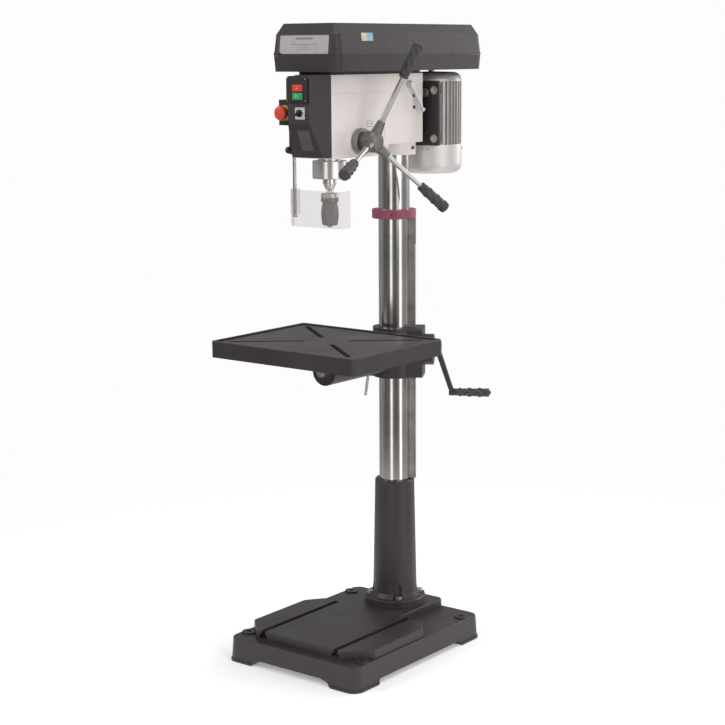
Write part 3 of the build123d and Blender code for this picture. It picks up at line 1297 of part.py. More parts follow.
with BuildPart() as guard_shield:
    with BuildSketch(Plane.XY.offset(GUARD_Z[0])):
        with BuildLine():
            Polyline((GUARD_X[0], GUARD_Y[0] + 15), (GUARD_X[0], GUARD_Y[0] + 4), (GUARD_X[0] + 4, GUARD_Y[0]),
                     (GUARD_X[1] - 4, GUARD_Y[0]), (GUARD_X[1], GUARD_Y[0] + 4), (GUARD_X[1], GUARD_Y[1]),
                     (GUARD_X[1] - GUARD_T, GUARD_Y[1]), (GUARD_X[1] - GUARD_T, GUARD_Y[0] + 5.2),
                     (GUARD_X[1] - 5.2, GUARD_Y[0] + GUARD_T), (GUARD_X[0] + 5.2, GUARD_Y[0] + GUARD_T),
                     (GUARD_X[0] + GUARD_T, GUARD_Y[0] + 5.2), (GUARD_X[0] + GUARD_T, GUARD_Y[0] + 15), close=True)
        make_face()
    extrude(amount=GUARD_Z[1] - GUARD_Z[0])
save(guard_shield, "guard_shield")
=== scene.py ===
"""Finished look of a floor drill press: paints, metals, grips, chuck, dial, labels and screws."""
from math import cos, pi, radians, sin, tan

import bmesh
import bpy
from bpy.props import BoolProperty, FloatProperty, FloatVectorProperty, IntProperty, PointerProperty
from mathutils import Matrix, Vector


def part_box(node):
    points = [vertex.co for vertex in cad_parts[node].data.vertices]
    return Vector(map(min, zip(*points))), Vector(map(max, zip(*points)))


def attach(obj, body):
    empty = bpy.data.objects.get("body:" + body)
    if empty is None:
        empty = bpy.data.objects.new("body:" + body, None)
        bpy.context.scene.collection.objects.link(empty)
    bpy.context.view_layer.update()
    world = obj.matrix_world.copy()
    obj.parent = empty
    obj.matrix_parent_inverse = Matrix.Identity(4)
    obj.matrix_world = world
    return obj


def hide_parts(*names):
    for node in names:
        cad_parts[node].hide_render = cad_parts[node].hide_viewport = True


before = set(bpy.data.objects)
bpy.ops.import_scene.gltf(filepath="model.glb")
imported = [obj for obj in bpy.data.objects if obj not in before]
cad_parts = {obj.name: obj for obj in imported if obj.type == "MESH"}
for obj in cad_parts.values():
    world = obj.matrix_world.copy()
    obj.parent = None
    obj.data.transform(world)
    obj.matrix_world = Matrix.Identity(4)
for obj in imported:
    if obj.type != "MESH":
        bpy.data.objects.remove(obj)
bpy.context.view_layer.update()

bl_info = {
    "name": "Drill Press Finish",
    "version": (1, 0, 0),
    "blender": (4, 5, 0),
    "location": "View3D > Sidebar > Drill Press",
    "description": "Paints and details a floor drill press around its packed frame",
    "category": "Object",
}

# Places in metres that several details share.
LID_LEAN = radians(7.0)
LID_FRONT_Y, LID_HALF, LID_PARTING = -0.221, 0.117, 1.743
HEAD_SIDE = 0.065
ARMS_MEET_X = 0.118
CRANK_GRIP_TURN = radians(30)
GRIP_BUMP_ROWS = 7
GRIP_STEPS = 60
MERGE_DISTANCE = 1e-6


# ---------------------------------------------------------------- settings
def colour_property(name, description, default):
    """A linear colour that a user may change."""
    return FloatVectorProperty(name=name, description=description, default=default, size=3,
                               min=0.0, max=1.0, subtype="COLOR")


class DrillPressColours(bpy.types.PropertyGroup):
    """Paints and plastics."""
    casting: colour_property("Casting paint", "Base, foot, table and bracket", (0.034, 0.026, 0.030))
    cover: colour_property("Cover paint", "Belt cover and front cover", (0.036, 0.027, 0.032))
    head: colour_property("Head paint", "Light paint of the head casting", (0.88, 0.81, 0.785))
    motor: colour_property("Motor paint", "Silver paint of the motor", (0.50, 0.48, 0.47))
    ring: colour_property("Ring paint", "Paint of the ring above the rack", (0.33, 0.085, 0.14))
    stop: colour_property("Red plastic", "Stop button and emergency mushroom", (0.78, 0.075, 0.035))
    start: colour_property("Green plastic", "Start button", (0.030, 0.42, 0.090))
    shield: colour_property("Shield", "Clear plastic of the chuck guard", (0.60, 0.53, 0.53))


class DrillPressSizes(bpy.types.PropertyGroup):
    """Sizes of the parts that are modelled here."""
    grip_wave: FloatProperty(name="Grip wave", description="Depth of the bumps on the hand grips",
                             default=0.0024, min=0.0, max=0.004, unit="LENGTH")
    chuck_flute: FloatProperty(name="Chuck flute", description="Depth of the chuck sleeve's flutes",
                               default=0.0011, min=0.0, max=0.003, unit="LENGTH")
    chuck_flutes: IntProperty(name="Flutes", description="Number of flutes round the chuck sleeve",
                              default=22, min=6, max=48)
    dial_marks: IntProperty(name="Dial marks", description="Marks round the depth ring",
                            default=60, min=12, max=120)
    dial_numbers: BoolProperty(name="Dial numbers", description="Numbers between the long marks",
                               default=True)
    screw_radius: FloatProperty(name="Screw radius", description="Radius of the motor cowl's socket screws",
                                default=0.0034, min=0.002, max=0.006, unit="LENGTH")


# ---------------------------------------------------------------- materials
class Finish:
    """A procedural material: one shader, its constant values, and pattern nodes on Object coordinates."""

    def __init__(self, name, **values):
        self.material = bpy.data.materials.new(name)
        self.material.use_nodes = True
        self.tree = self.material.node_tree
        self.shader = self.tree.nodes["Principled BSDF"]
        self.place = self.tree.nodes.new("ShaderNodeTexCoord").outputs["Object"]
        self.normal = None
        for socket, value in values.items():
            self.shader.inputs[socket.replace("_", " ")].default_value = value

    def stretched(self, scale):
        """Object coordinates with their own scale on each axis."""
        mapping = self.tree.nodes.new("ShaderNodeMapping")
        mapping.inputs["Scale"].default_value = scale
        self.tree.links.new(self.place, mapping.inputs["Vector"])
        return mapping.outputs["Vector"]

    def noise(self, scale, detail=4.0, roughness=0.55, place=None):
        """Cloudy pattern from 0 to 1."""
        node = self.tree.nodes.new("ShaderNodeTexNoise")
        node.inputs["Scale"].default_value = scale
        node.inputs["Detail"].default_value = detail
        node.inputs["Roughness"].default_value = roughness
        self.tree.links.new(place or self.place, node.inputs["Vector"])
        return node.outputs["Fac"]

    def cells(self, scale):
        """Pattern of round cells."""
        node = self.tree.nodes.new("ShaderNodeTexVoronoi")
        node.inputs["Scale"].default_value = scale
        self.tree.links.new(self.place, node.inputs["Vector"])
        return node.outputs["Distance"]

    def between(self, pattern, low, high, start=0.3, end=0.7):
        """Turns a pattern into values from low to high."""
        node = self.tree.nodes.new("ShaderNodeMapRange")
        node.inputs["From Min"].default_value = start
        node.inputs["From Max"].default_value = end
        node.inputs["To Min"].default_value = low
        node.inputs["To Max"].default_value = high
        self.tree.links.new(pattern, node.inputs["Value"])
        return node.outputs["Result"]

    def colours(self, pattern, *stops):
        """Colours a pattern. Each stop is (position, colour)."""
        node = self.tree.nodes.new("ShaderNodeValToRGB")
        ramp = node.color_ramp
        while len(ramp.elements) < len(stops):
            ramp.elements.new(0.5)
        for element, (position, colour) in zip(ramp.elements, stops):
            element.position = position
            element.color = (*colour[:3], 1.0)
        self.tree.links.new(pattern, node.inputs["Fac"])
        return node.outputs["Color"]

    def blend(self, amount, first, second):
        """Mixes two colour outputs by a pattern."""
        node = self.tree.nodes.new("ShaderNodeMix")
        node.data_type = "RGBA"
        self.tree.links.new(amount, node.inputs["Factor"])
        self.tree.links.new(first, node.inputs["A"])
        self.tree.links.new(second, node.inputs["B"])
        return node.outputs["Result"]

    def bump(self, pattern, depth, strength=1.0):
        """Raises the surface by a pattern, to a depth in metres."""
        node = self.tree.nodes.new("ShaderNodeBump")
        node.inputs["Strength"].default_value = strength
        node.inputs["Distance"].default_value = depth
        self.tree.links.new(pattern, node.inputs["Height"])
        if self.normal:
            self.tree.links.new(self.normal, node.inputs["Normal"])
        self.normal = node.outputs["Normal"]
        self.tree.links.new(self.normal, self.shader.inputs["Normal"])

    def feed(self, socket, output):
        """Links a pattern to one of the shader's inputs."""
        self.tree.links.new(output, self.shader.inputs[socket])


def shade(colour, factor):
    """A lighter or darker copy of a colour."""
    return tuple(min(1.0, channel * factor) for channel in colour)


def cast_paint(name, colour, grain=420.0):
    """Satin paint over rough cast iron, with dust that lies on it in patches."""
    f = Finish(name, Coat_Weight=0.12, Coat_Roughness=0.35)
    clouds = f.noise(7.0, 6.0)
    fine = f.noise(grain, 3.0)
    painted = f.colours(clouds, (0.32, shade(colour, 0.80)), (0.50, colour), (0.72, shade(colour, 1.30)))
    specks = f.colours(fine, (0.35, shade(colour, 0.75)), (0.66, shade(colour, 1.25)))
    f.feed("Base Color", f.blend(f.between(fine, 0.0, 0.55), painted, specks))
    f.feed("Roughness", f.between(clouds, 0.40, 0.56))
    f.bump(f.noise(46.0, 3.0), 0.0007, 0.45)
    f.bump(fine, 0.00025, 0.55)
    return f.material


def sheet_paint(name, colour, rough=(0.30, 0.42)):
    """Smooth sprayed paint on sheet metal, with a faint orange peel."""
    f = Finish(name, Coat_Weight=0.08, Coat_Roughness=0.30)
    clouds = f.noise(4.5, 5.0)
    f.feed("Base Color", f.colours(clouds, (0.30, shade(colour, 0.88)), (0.52, colour),
                                   (0.75, shade(colour, 1.12))))
    f.feed("Roughness", f.between(f.noise(60.0), *rough))
    f.bump(f.noise(330.0, 2.0), 0.00012, 0.5)
    return f.material


def ground_steel(name, colour=(0.60, 0.585, 0.57), along="z", rough=(0.16, 0.30)):
    """Ground and polished steel, with fine lines round or along the piece."""
    f = Finish(name, Metallic=1.0)
    lines = f.stretched((420.0, 420.0, 3.0) if along == "z" else (3.0, 420.0, 420.0))
    fine = f.noise(2.0, 5.0, 0.7, lines)
    stains = f.noise(9.0, 6.0)
    f.feed("Base Color", f.colours(stains, (0.30, shade(colour, 0.84)), (0.55, colour),
                                   (0.80, shade(colour, 1.12))))
    f.feed("Roughness", f.between(fine, *rough))
    f.bump(fine, 0.00005, 0.35)
    return f.material


def machined_steel(name, colour, rough=(0.28, 0.45), grain=160.0):
    """Plain turned or milled steel, slightly clouded."""
    f = Finish(name, Metallic=1.0)
    clouds = f.noise(30.0, 6.0)
    f.feed("Base Color", f.colours(clouds, (0.30, shade(colour, 0.72)), (0.52, colour),
                                   (0.78, shade(colour, 1.18))))
    f.feed("Roughness", f.between(f.noise(grain, 5.0), *rough))
    f.bump(f.noise(grain * 3, 3.0), 0.00006, 0.5)
    return f.material


def cast_metal(name, colour, grain=240.0):
    """Bare cast aluminium, grainy and dull."""
    f = Finish(name, Metallic=0.85)
    clouds = f.noise(22.0, 6.0)
    f.feed("Base Color", f.colours(clouds, (0.28, shade(colour, 0.70)), (0.50, colour),
                                   (0.75, shade(colour, 1.22))))
    f.feed("Roughness", f.between(clouds, 0.36, 0.55))
    f.bump(f.noise(grain, 4.0), 0.00035, 0.55)
    return f.material


def hammer_paint(name, colour):
    """Silver paint with a fine metal flake."""
    f = Finish(name, Metallic=0.45, Coat_Weight=0.2, Coat_Roughness=0.3)
    flakes = f.cells(900.0)
    clouds = f.noise(9.0, 5.0)
    ground = f.colours(clouds, (0.30, shade(colour, 0.84)), (0.72, shade(colour, 1.15)))
    sparkle = f.colours(flakes, (0.10, shade(colour, 1.35)), (0.55, shade(colour, 0.85)))
    f.feed("Base Color", f.blend(f.between(flakes, 0.15, 0.5, 0.0, 0.9), ground, sparkle))
    f.feed("Roughness", f.between(clouds, 0.34, 0.47))
    f.bump(f.noise(300.0, 3.0), 0.00018, 0.5)
    return f.material


def moulded_plastic(name, colour, rough=(0.30, 0.42), grain=700.0, **values):
    """Moulded plastic with a fine grain and faint scuffs."""
    f = Finish(name, **values)
    scuffs = f.noise(35.0, 7.0, 0.65)
    f.feed("Base Color", f.colours(scuffs, (0.30, shade(colour, 0.86)), (0.55, colour),
                                   (0.80, shade(colour, 1.16))))
    f.feed("Roughness", f.between(scuffs, *rough))
    f.bump(f.noise(grain, 2.0), 0.00010, 0.5)
    return f.material


def clear_plastic(name, colour):
    """Clear plastic sheet, a little milky and scratched."""
    f = Finish(name, Alpha=0.20, IOR=1.3)
    scratches = f.noise(3.0, 8.0, 0.75, f.stretched((60.0, 60.0, 6.0)))
    f.feed("Base Color", f.colours(f.noise(6.0, 4.0), (0.30, shade(colour, 0.93)), (0.70, colour)))
    f.feed("Roughness", f.between(scratches, 0.10, 0.32))
    f.bump(scratches, 0.00004, 0.3)
    return f.material


MATERIALS = {}


def make_materials(colours):
    """Fills the table of finishes that the pieces share."""
    MATERIALS.update(
        casting=cast_paint("casting_paint", colours.casting),
        table=cast_paint("table_paint", shade(colours.casting, 1.12), 520.0),
        head=sheet_paint("head_paint", colours.head, (0.38, 0.50)),
        cover=sheet_paint("cover_paint", colours.cover, (0.48, 0.60)),
        motor=hammer_paint("motor_paint", colours.motor),
        # The cowl gets the motor paint made 1.5 times as light: a painted highlight, not a paint of its own.
        cowl=hammer_paint("cowl_paint_painted_highlight", shade(colours.motor, 1.50)),
        ring=moulded_plastic("ring_paint", colours.ring, (0.36, 0.52), 420.0),
        ground=ground_steel("ground_steel", rough=(0.13, 0.20)),
        quill=ground_steel("quill_steel", (0.74, 0.71, 0.69), "z", (0.24, 0.38)),
        rods=ground_steel("rod_steel", (0.62, 0.61, 0.60), "x", (0.24, 0.38)),
        rack=machined_steel("rack_steel", (0.30, 0.29, 0.285), (0.38, 0.58)),
        steel=machined_steel("bolt_steel", (0.56, 0.55, 0.54)),
        dark_steel=machined_steel("blackened_steel", (0.085, 0.080, 0.085), (0.34, 0.50)),
        chuck=machined_steel("chuck_steel", (0.135, 0.125, 0.135), (0.30, 0.46)),
        alloy=cast_metal("cast_alloy", (0.21, 0.20, 0.195)),
        dial=machined_steel("dial_alloy", (0.36, 0.345, 0.335), (0.34, 0.48)),
        rubber=moulded_plastic("grip_rubber", (0.060, 0.058, 0.060), (0.42, 0.62), 520.0),
        belt=moulded_plastic("belt_rubber", (0.022, 0.022, 0.022), (0.60, 0.80), 300.0),
        black=moulded_plastic("black_plastic", (0.022, 0.020, 0.022)),
        white=moulded_plastic("white_plastic", (0.80, 0.79, 0.77), (0.28, 0.36)),
        red=moulded_plastic("red_plastic", colours.stop, (0.26, 0.36)),
        green=moulded_plastic("green_plastic", colours.start, (0.26, 0.36)),
        yellow=moulded_plastic("yellow_plastic", (0.75, 0.50, 0.03), (0.30, 0.40)),
        window=moulded_plastic("window_plastic", (0.105, 0.098, 0.105), (0.10, 0.20), 900.0, Coat_Weight=0.4),
        shield=clear_plastic("clear_shield", colours.shield),
        label=moulded_plastic("label_foil", (0.42, 0.385, 0.38), (0.34, 0.44), 800.0),
        print=moulded_plastic("label_print", (0.16, 0.15, 0.17), (0.35, 0.45)),
        cream=moulded_plastic("cream_foil", (0.62, 0.60, 0.46), (0.30, 0.40)),
        blue=moulded_plastic("blue_foil", (0.26, 0.50, 0.66), (0.30, 0.40)),
    )


def dress(finish, *nodes):
    """Gives CAD nodes one of the finishes."""
    for name in nodes:
        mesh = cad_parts[name].data
        mesh.materials.clear()
        mesh.materials.append(MATERIALS[finish])


# ---------------------------------------------------------------- meshes
def mesh_piece(name, mesh, finish, body, smooth=35.0, replaced=()):
    """Puts a finished mesh in the scene, on a body, with its finish."""
    piece = bpy.data.objects.new(name, mesh)
    bpy.context.scene.collection.objects.link(piece)
    if finish:
        mesh.materials.clear()
        mesh.materials.append(MATERIALS[finish])
    if smooth:
        for face in mesh.polygons:
            face.use_smooth = True
        mesh.set_sharp_from_angle(angle=radians(smooth))
    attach(piece, body)
    if replaced:
        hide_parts(*replaced)
    return piece


def finish_bmesh(bm, name):
    """Merges doubles, turns the faces outwards and makes the mesh."""
    bmesh.ops.remove_doubles(bm, verts=bm.verts, dist=MERGE_DISTANCE)
    bmesh.ops.recalc_face_normals(bm, faces=bm.faces)
    mesh = bpy.data.meshes.new(name)
    bm.to_mesh(mesh)
    bm.free()
    return mesh


def square_to(axis):
    """Two directions square to an axis."""
    axis = axis.normalized()
    first = axis.orthogonal().normalized()
    return first, axis.cross(first).normalized()


def add_lathe(bm, origin, axis, profile, segments=64, wave=None):
    """Turns a profile of (distance, radius) about an axis. wave gives more radius at (angle, distance)."""
    axis = axis.normalized()
    first, second = square_to(axis)
    rings = []
    for distance, radius in profile:
        if radius <= 0:
            rings.append([bm.verts.new(origin + axis * distance)])
            continue
        ring = []
        for step in range(segments):
            angle = 2 * pi * step / segments
            r = radius + (wave(angle, distance) if wave else 0.0)
            outward = first * cos(angle) + second * sin(angle)
            ring.append(bm.verts.new(origin + axis * distance + outward * r))
        rings.append(ring)
    for low, high in zip(rings, rings[1:]):
        for step in range(segments):
            corners = [low[step % len(low)], low[(step + 1) % len(low)],
                       high[(step + 1) % len(high)], high[step % len(high)]]
            kept = []
            for corner in corners:
                if corner not in kept:
                    kept.append(corner)
            if len(kept) > 2:
                bm.faces.new(kept)
    return bm


def add_plate(bm, place, width, height, thickness, corner=0.001, steps=4):
    """A thin plate with rounded corners. place's x and y span it and its z is the outward normal."""
    outline = []
    for quarter, (sx, sy) in enumerate(((1, 1), (-1, 1), (-1, -1), (1, -1))):
        for step in range(steps + 1):
            angle = (quarter + step / steps) * pi / 2
            outline.append((sx * (width / 2 - corner) + corner * cos(angle),
                            sy * (height / 2 - corner) + corner * sin(angle)))
    low = [bm.verts.new(place @ Vector((x, y, 0.0))) for x, y in outline]
    high = [bm.verts.new(place @ Vector((x, y, thickness))) for x, y in outline]
    bm.faces.new(high)
    bm.faces.new(list(reversed(low)))
    for a, b in zip(range(len(low)), list(range(1, len(low))) + [0]):
        bm.faces.new((low[a], low[b], high[b], high[a]))
    return bm


def facing(origin, outward, up=(0, 0, 1)):
    """A placement whose z points outward and whose y leans up."""
    z = Vector(outward).normalized()
    x = Vector(up).cross(z).normalized()
    y = z.cross(x)
    matrix = Matrix((x, y, z)).transposed().to_4x4()
    matrix.translation = Vector(origin)
    return matrix


# ---------------------------------------------------------------- geometry node trees
def new_tree(name, inputs):
    """An empty geometry tree with named inputs. Each input is (name, socket type, default)."""
    tree = bpy.data.node_groups.new(name, "GeometryNodeTree")
    tree.interface.new_socket(name="Geometry", in_out="INPUT", socket_type="NodeSocketGeometry")
    for label, kind, default in inputs:
        socket = tree.interface.new_socket(name=label, in_out="INPUT", socket_type=kind)
        if default is not None:
            socket.default_value = default
    tree.interface.new_socket(name="Geometry", in_out="OUTPUT", socket_type="NodeSocketGeometry")
    return tree, tree.nodes.new("NodeGroupInput"), tree.nodes.new("NodeGroupOutput")


def end_tree(tree, group_in, group_out, geometry):
    """Realizes the instances and sets the material."""
    realize = tree.nodes.new("GeometryNodeRealizeInstances")
    material = tree.nodes.new("GeometryNodeSetMaterial")
    tree.links.new(geometry, realize.inputs["Geometry"])
    tree.links.new(realize.outputs["Geometry"], material.inputs["Geometry"])
    tree.links.new(group_in.outputs["Material"], material.inputs["Material"])
    tree.links.new(material.outputs["Geometry"], group_out.inputs["Geometry"])


def marks_tree():
    """Small bars that stand in a ring about Z, long side along Z."""
    tree, group_in, group_out = new_tree("ring_of_marks", (
        ("Count", "NodeSocketInt", 12), ("Radius", "NodeSocketFloat", 0.03),
        ("Bar", "NodeSocketVector", None), ("Material", "NodeSocketMaterial", None)))
    circle = tree.nodes.new("GeometryNodeMeshCircle")
    bar = tree.nodes.new("GeometryNodeMeshCube")
    place = tree.nodes.new("GeometryNodeInputPosition")
    turn = tree.nodes.new("FunctionNodeAlignRotationToVector")
    stand = tree.nodes.new("GeometryNodeInstanceOnPoints")
    turn.axis = "X"
    turn.pivot_axis = "Z"
    tree.links.new(group_in.outputs["Count"], circle.inputs["Vertices"])
    tree.links.new(group_in.outputs["Radius"], circle.inputs["Radius"])
    tree.links.new(group_in.outputs["Bar"], bar.inputs["Size"])
    tree.links.new(place.outputs["Position"], turn.inputs["Vector"])
    tree.links.new(circle.outputs["Mesh"], stand.inputs["Points"])
    tree.links.new(bar.outputs["Mesh"], stand.inputs["Instance"])
    tree.links.new(turn.outputs["Rotation"], stand.inputs["Rotation"])
    end_tree(tree, group_in, group_out, stand.outputs["Instances"])
    return tree


def screws_tree():
    """A copy of a screw on each point, turned to the point's facing attribute."""
    tree, group_in, group_out = new_tree("screws_on_points", (
        ("Screw", "NodeSocketObject", None), ("Size", "NodeSocketFloat", 1.0),
        ("Material", "NodeSocketMaterial", None)))
    screw = tree.nodes.new("GeometryNodeObjectInfo")
    facing_out = tree.nodes.new("GeometryNodeInputNamedAttribute")
    facing_out.data_type = "FLOAT_VECTOR"
    facing_out.inputs["Name"].default_value = "facing"
    turn = tree.nodes.new("FunctionNodeAlignRotationToVector")
    turn.axis = "Z"
    stand = tree.nodes.new("GeometryNodeInstanceOnPoints")
    tree.links.new(group_in.outputs["Screw"], screw.inputs["Object"])
    tree.links.new(facing_out.outputs["Attribute"], turn.inputs["Vector"])
    tree.links.new(group_in.outputs["Geometry"], stand.inputs["Points"])
    tree.links.new(screw.outputs["Geometry"], stand.inputs["Instance"])
    tree.links.new(turn.outputs["Rotation"], stand.inputs["Rotation"])
    tree.links.new(group_in.outputs["Size"], stand.inputs["Scale"])
    end_tree(tree, group_in, group_out, stand.outputs["Instances"])
    return tree


def grown(tree, source, values, name):
    """Runs a tree on a mesh and returns the plain mesh that it makes."""
    carrier = bpy.data.objects.new(name + "_carrier", source)
    bpy.context.scene.collection.objects.link(carrier)
    modifier = carrier.modifiers.new("tree", "NODES")
    modifier.node_group = tree
    identifiers = {item.name: item.identifier for item in tree.interface.items_tree if item.in_out == "INPUT"}
    for label, value in values.items():
        modifier[identifiers[label]] = value
    graph = bpy.context.evaluated_depsgraph_get()
    mesh = bpy.data.meshes.new_from_object(carrier.evaluated_get(graph), depsgraph=graph)
    mesh.name = name
    carrier.modifiers.remove(modifier)
    bpy.data.objects.remove(carrier)
    if not mesh.polygons:
        raise RuntimeError(f"{name} came out empty")
    return mesh


def socket_screw():
    """A cap screw's head of unit radius with a six-sided socket, standing on the origin along Z."""
    bm = bmesh.new()
    add_lathe(bm, Vector(), Vector((0, 0, 1)),
              [(-0.2, 0.0), (-0.2, 0.96), (0.60, 1.0), (0.78, 0.94), (0.84, 0.84), (0.84, 0.56)], 24)
    add_lathe(bm, Vector((0, 0, 0.84)), Vector((0, 0, 1)), [(0.0, 0.56), (-0.5, 0.50), (-0.56, 0.0)], 6)
    return finish_bmesh(bm, "socket_screw")


TREES = {}


def tree_named(name):
    """Makes each tree once."""
    if name not in TREES:
        TREES[name] = {"marks": marks_tree, "screws": screws_tree}[name]()
    return TREES[name]


def screws_at(name, points, radius, finish, body):
    """Socket screws at (place, outward) points."""
    source = bpy.data.meshes.new(name + "_points")
    source.from_pydata([place for place, outward in points], [], [])
    attribute = source.attributes.new("facing", "FLOAT_VECTOR", "POINT")
    for item, (place, outward) in zip(attribute.data, points):
        item.vector = outward
    head = bpy.data.objects.new(name + "_head", socket_screw())
    bpy.context.scene.collection.objects.link(head)
    values = {"Screw": head, "Size": radius, "Material": MATERIALS[finish]}
    mesh = grown(tree_named("screws"), source, values, name)
    bpy.data.objects.remove(head)
    return mesh_piece(name, mesh, None, body, 30.0)


def mark_ring(name, count, radius, bar, place, finish, body):
    """A ring of bars about an axis, placed by a matrix."""
    mesh = grown(tree_named("marks"), bpy.data.meshes.new(name + "_source"),
                 {"Count": count, "Radius": radius, "Bar": bar, "Material": MATERIALS[finish]}, name)
    mesh.transform(place)
    return mesh_piece(name, mesh, None, body, 0)


# ---------------------------------------------------------------- operators
class FinishOperator(bpy.types.Operator):
    """Shared settings access of the operators."""
    bl_options = {"REGISTER", "UNDO"}

    @property
    def sizes(self):
        """The scene's sizes."""
        return bpy.context.scene.drill_press_sizes


class DRILL_OT_castings(FinishOperator):
    """Paints the base, foot, table, bracket and head."""
    bl_idname = "drill_press.castings"
    bl_label = "Castings"

    def execute(self, context):
        make_materials(context.scene.drill_press_colours)
        dress("casting", "base_casting", "column_foot", "table_bracket", "crank_arm")
        dress("table", "table_plate")
        dress("head", "head_casting")
        dress("ring", "rack_ring")
        return {"FINISHED"}


class DRILL_OT_bright_parts(FinishOperator):
    """Finishes the column, rack, spindle, shafts and bolts."""
    bl_idname = "drill_press.bright_parts"
    bl_label = "Bright parts"

    def execute(self, context):
        dress("ground", "column_tube", "guard_stem", "slide_rods")
        dress("quill", "quill", "spindle")
        dress("rods", "capstan_rods", "feed_shaft", "tension_lever")
        dress("rack", "table_rack", "table_pinion")
        dress("steel", "foot_bolts", "tilt_bolt", "table_lock", "quill_bearings", "idler_shaft",
              "motor_shaft", "motor_fasteners", "chuck_jaw_1", "chuck_jaw_2", "chuck_jaw_3")
        dress("dark_steel", "set_screws")
        dress("alloy", "capstan_hub", "spring_housing", "spindle_pulley", "idler_pulley", "motor_pulley")
        dress("dial", "depth_ring")
        return {"FINISHED"}


class DRILL_OT_covers(FinishOperator):
    """Paints the belt cover, the front cover, the motor and its plate, and the belts inside."""
    bl_idname = "drill_press.covers"
    bl_label = "Covers and motor"

    def execute(self, context):
        dress("cover", "belt_tray", "belt_lid", "front_cover", "motor_plate", "terminal_box")
        dress("motor", "motor_frame")
        # The cowl's lighter copy of the motor paint is a painted highlight.
        dress("cowl", "motor_cowl")
        dress("belt", "drive_belts")
        return {"FINISHED"}


class DRILL_OT_controls(FinishOperator):
    """Finishes the switches, the emergency stop and the guard, and puts plain marks on the buttons."""
    bl_idname = "drill_press.controls"
    bl_label = "Controls and guard"

    def execute(self, context):
        dress("black", "switch_housing", "rotary_knob", "estop_box", "guard_bracket", "guard_knob")
        dress("red", "stop_button", "estop_mushroom")
        dress("green", "start_button")
        dress("white", "rotary_plate")
        dress("yellow", "estop_collar")
        dress("window", "display_window")
        dress("shield", "guard_shield", "guard_clip")
        for name, body, node, bars in (
            ("stop_mark", "stop", "stop_button", ((0.0, 0.0055, 0.0014),)),
            ("start_mark", "start", "start_button", ((-0.004, 0.0012, 0.0075), (0.004, 0.0012, 0.0075))),
        ):
            low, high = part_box(node)
            middle = (Vector(low) + Vector(high)) / 2
            bm = bmesh.new()
            for across, width, height in bars:
                add_plate(bm, facing((middle.x + across, low[1] + 0.0002, middle.z), (0, -1, 0)),
                          width, height, 0.0005, 0.0004)
            mesh_piece(name, finish_bmesh(bm, name), "white", body, 0)
        low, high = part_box("rotary_plate")
        centre = Vector(((low[0] + high[0]) / 2, low[1], (low[2] + high[2]) / 2))
        bm = bmesh.new()
        for angle in (-45, 0, 45):
            lean = Matrix.Rotation(radians(angle), 4, "Z")
            place = facing(centre + Vector((0, 0.0001, 0)), (0, -1, 0)) @ lean
            add_plate(bm, place @ Matrix.Translation((0, 0.0128, 0)), 0.0011, 0.0036, 0.0004, 0.0004)
        mesh_piece("rotary_marks", finish_bmesh(bm, "rotary_marks"), "print", "machine", 0)
        return {"FINISHED"}


class DRILL_OT_grips(FinishOperator):
    """Makes the bumpy rubber grips of the feed arms and of the table crank."""
    bl_idname = "drill_press.grips"
    bl_label = "Hand grips"

    def execute(self, context):
        depth = self.sizes.grip_wave
        sets = (("capstan_handgrips", "capstan_grips", "capstan", 3),
                ("crank_handgrip", "crank_grip", "crank_handle", 1))
        for name, node, body, count in sets:
            bm = bmesh.new()
            for start, end, radius in grip_lines(node, count):
                add_grip(bm, start, end, radius, depth)
            mesh_piece(name, finish_bmesh(bm, name), "rubber", body, 50.0, (node,))
        return {"FINISHED"}


def islands(node):
    """The separate solids of a CAD node, each as a list of points."""
    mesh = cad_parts[node].data
    bm = bmesh.new()
    bm.from_mesh(mesh)
    bmesh.ops.remove_doubles(bm, verts=bm.verts, dist=MERGE_DISTANCE)
    groups, seen = [], set()
    for vertex in bm.verts:
        if vertex in seen:
            continue
        group, queue = [], [vertex]
        seen.add(vertex)
        while queue:
            here = queue.pop()
            group.append(here.co.copy())
            for edge in here.link_edges:
                other = edge.other_vert(here)
                if other not in seen:
                    seen.add(other)
                    queue.append(other)
        groups.append(group)
    bm.free()
    return groups


def grip_lines(node, count):
    """Start, end and largest radius of each grip of a node, from the arm outwards."""
    lines = []
    for points in islands(node)[:count]:
        middle = sum(points, Vector()) / len(points)
        axis = GRIP_AXES[node](middle)
        along = [(p - middle).dot(axis) for p in points]
        low, high = min(along), max(along)
        radius = max(((p - middle) - axis * (p - middle).dot(axis)).length for p in points)
        lines.append((middle + axis * low, middle + axis * high, radius))
    return lines


def arm_direction(middle):
    """Outward direction of the feed arm whose grip has this middle."""
    low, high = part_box("feed_shaft")
    ring_low, ring_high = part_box("depth_ring")
    hub = Vector((ARMS_MEET_X, (ring_low[1] + ring_high[1]) / 2, (low[2] + high[2]) / 2))
    return (middle - hub).normalized()


def crank_direction(middle):
    """Direction of the crank's grip, square to its arm."""
    return Vector((cos(CRANK_GRIP_TURN), sin(CRANK_GRIP_TURN), 0))


GRIP_AXES = {"capstan_grips": arm_direction, "crank_grip": crank_direction}


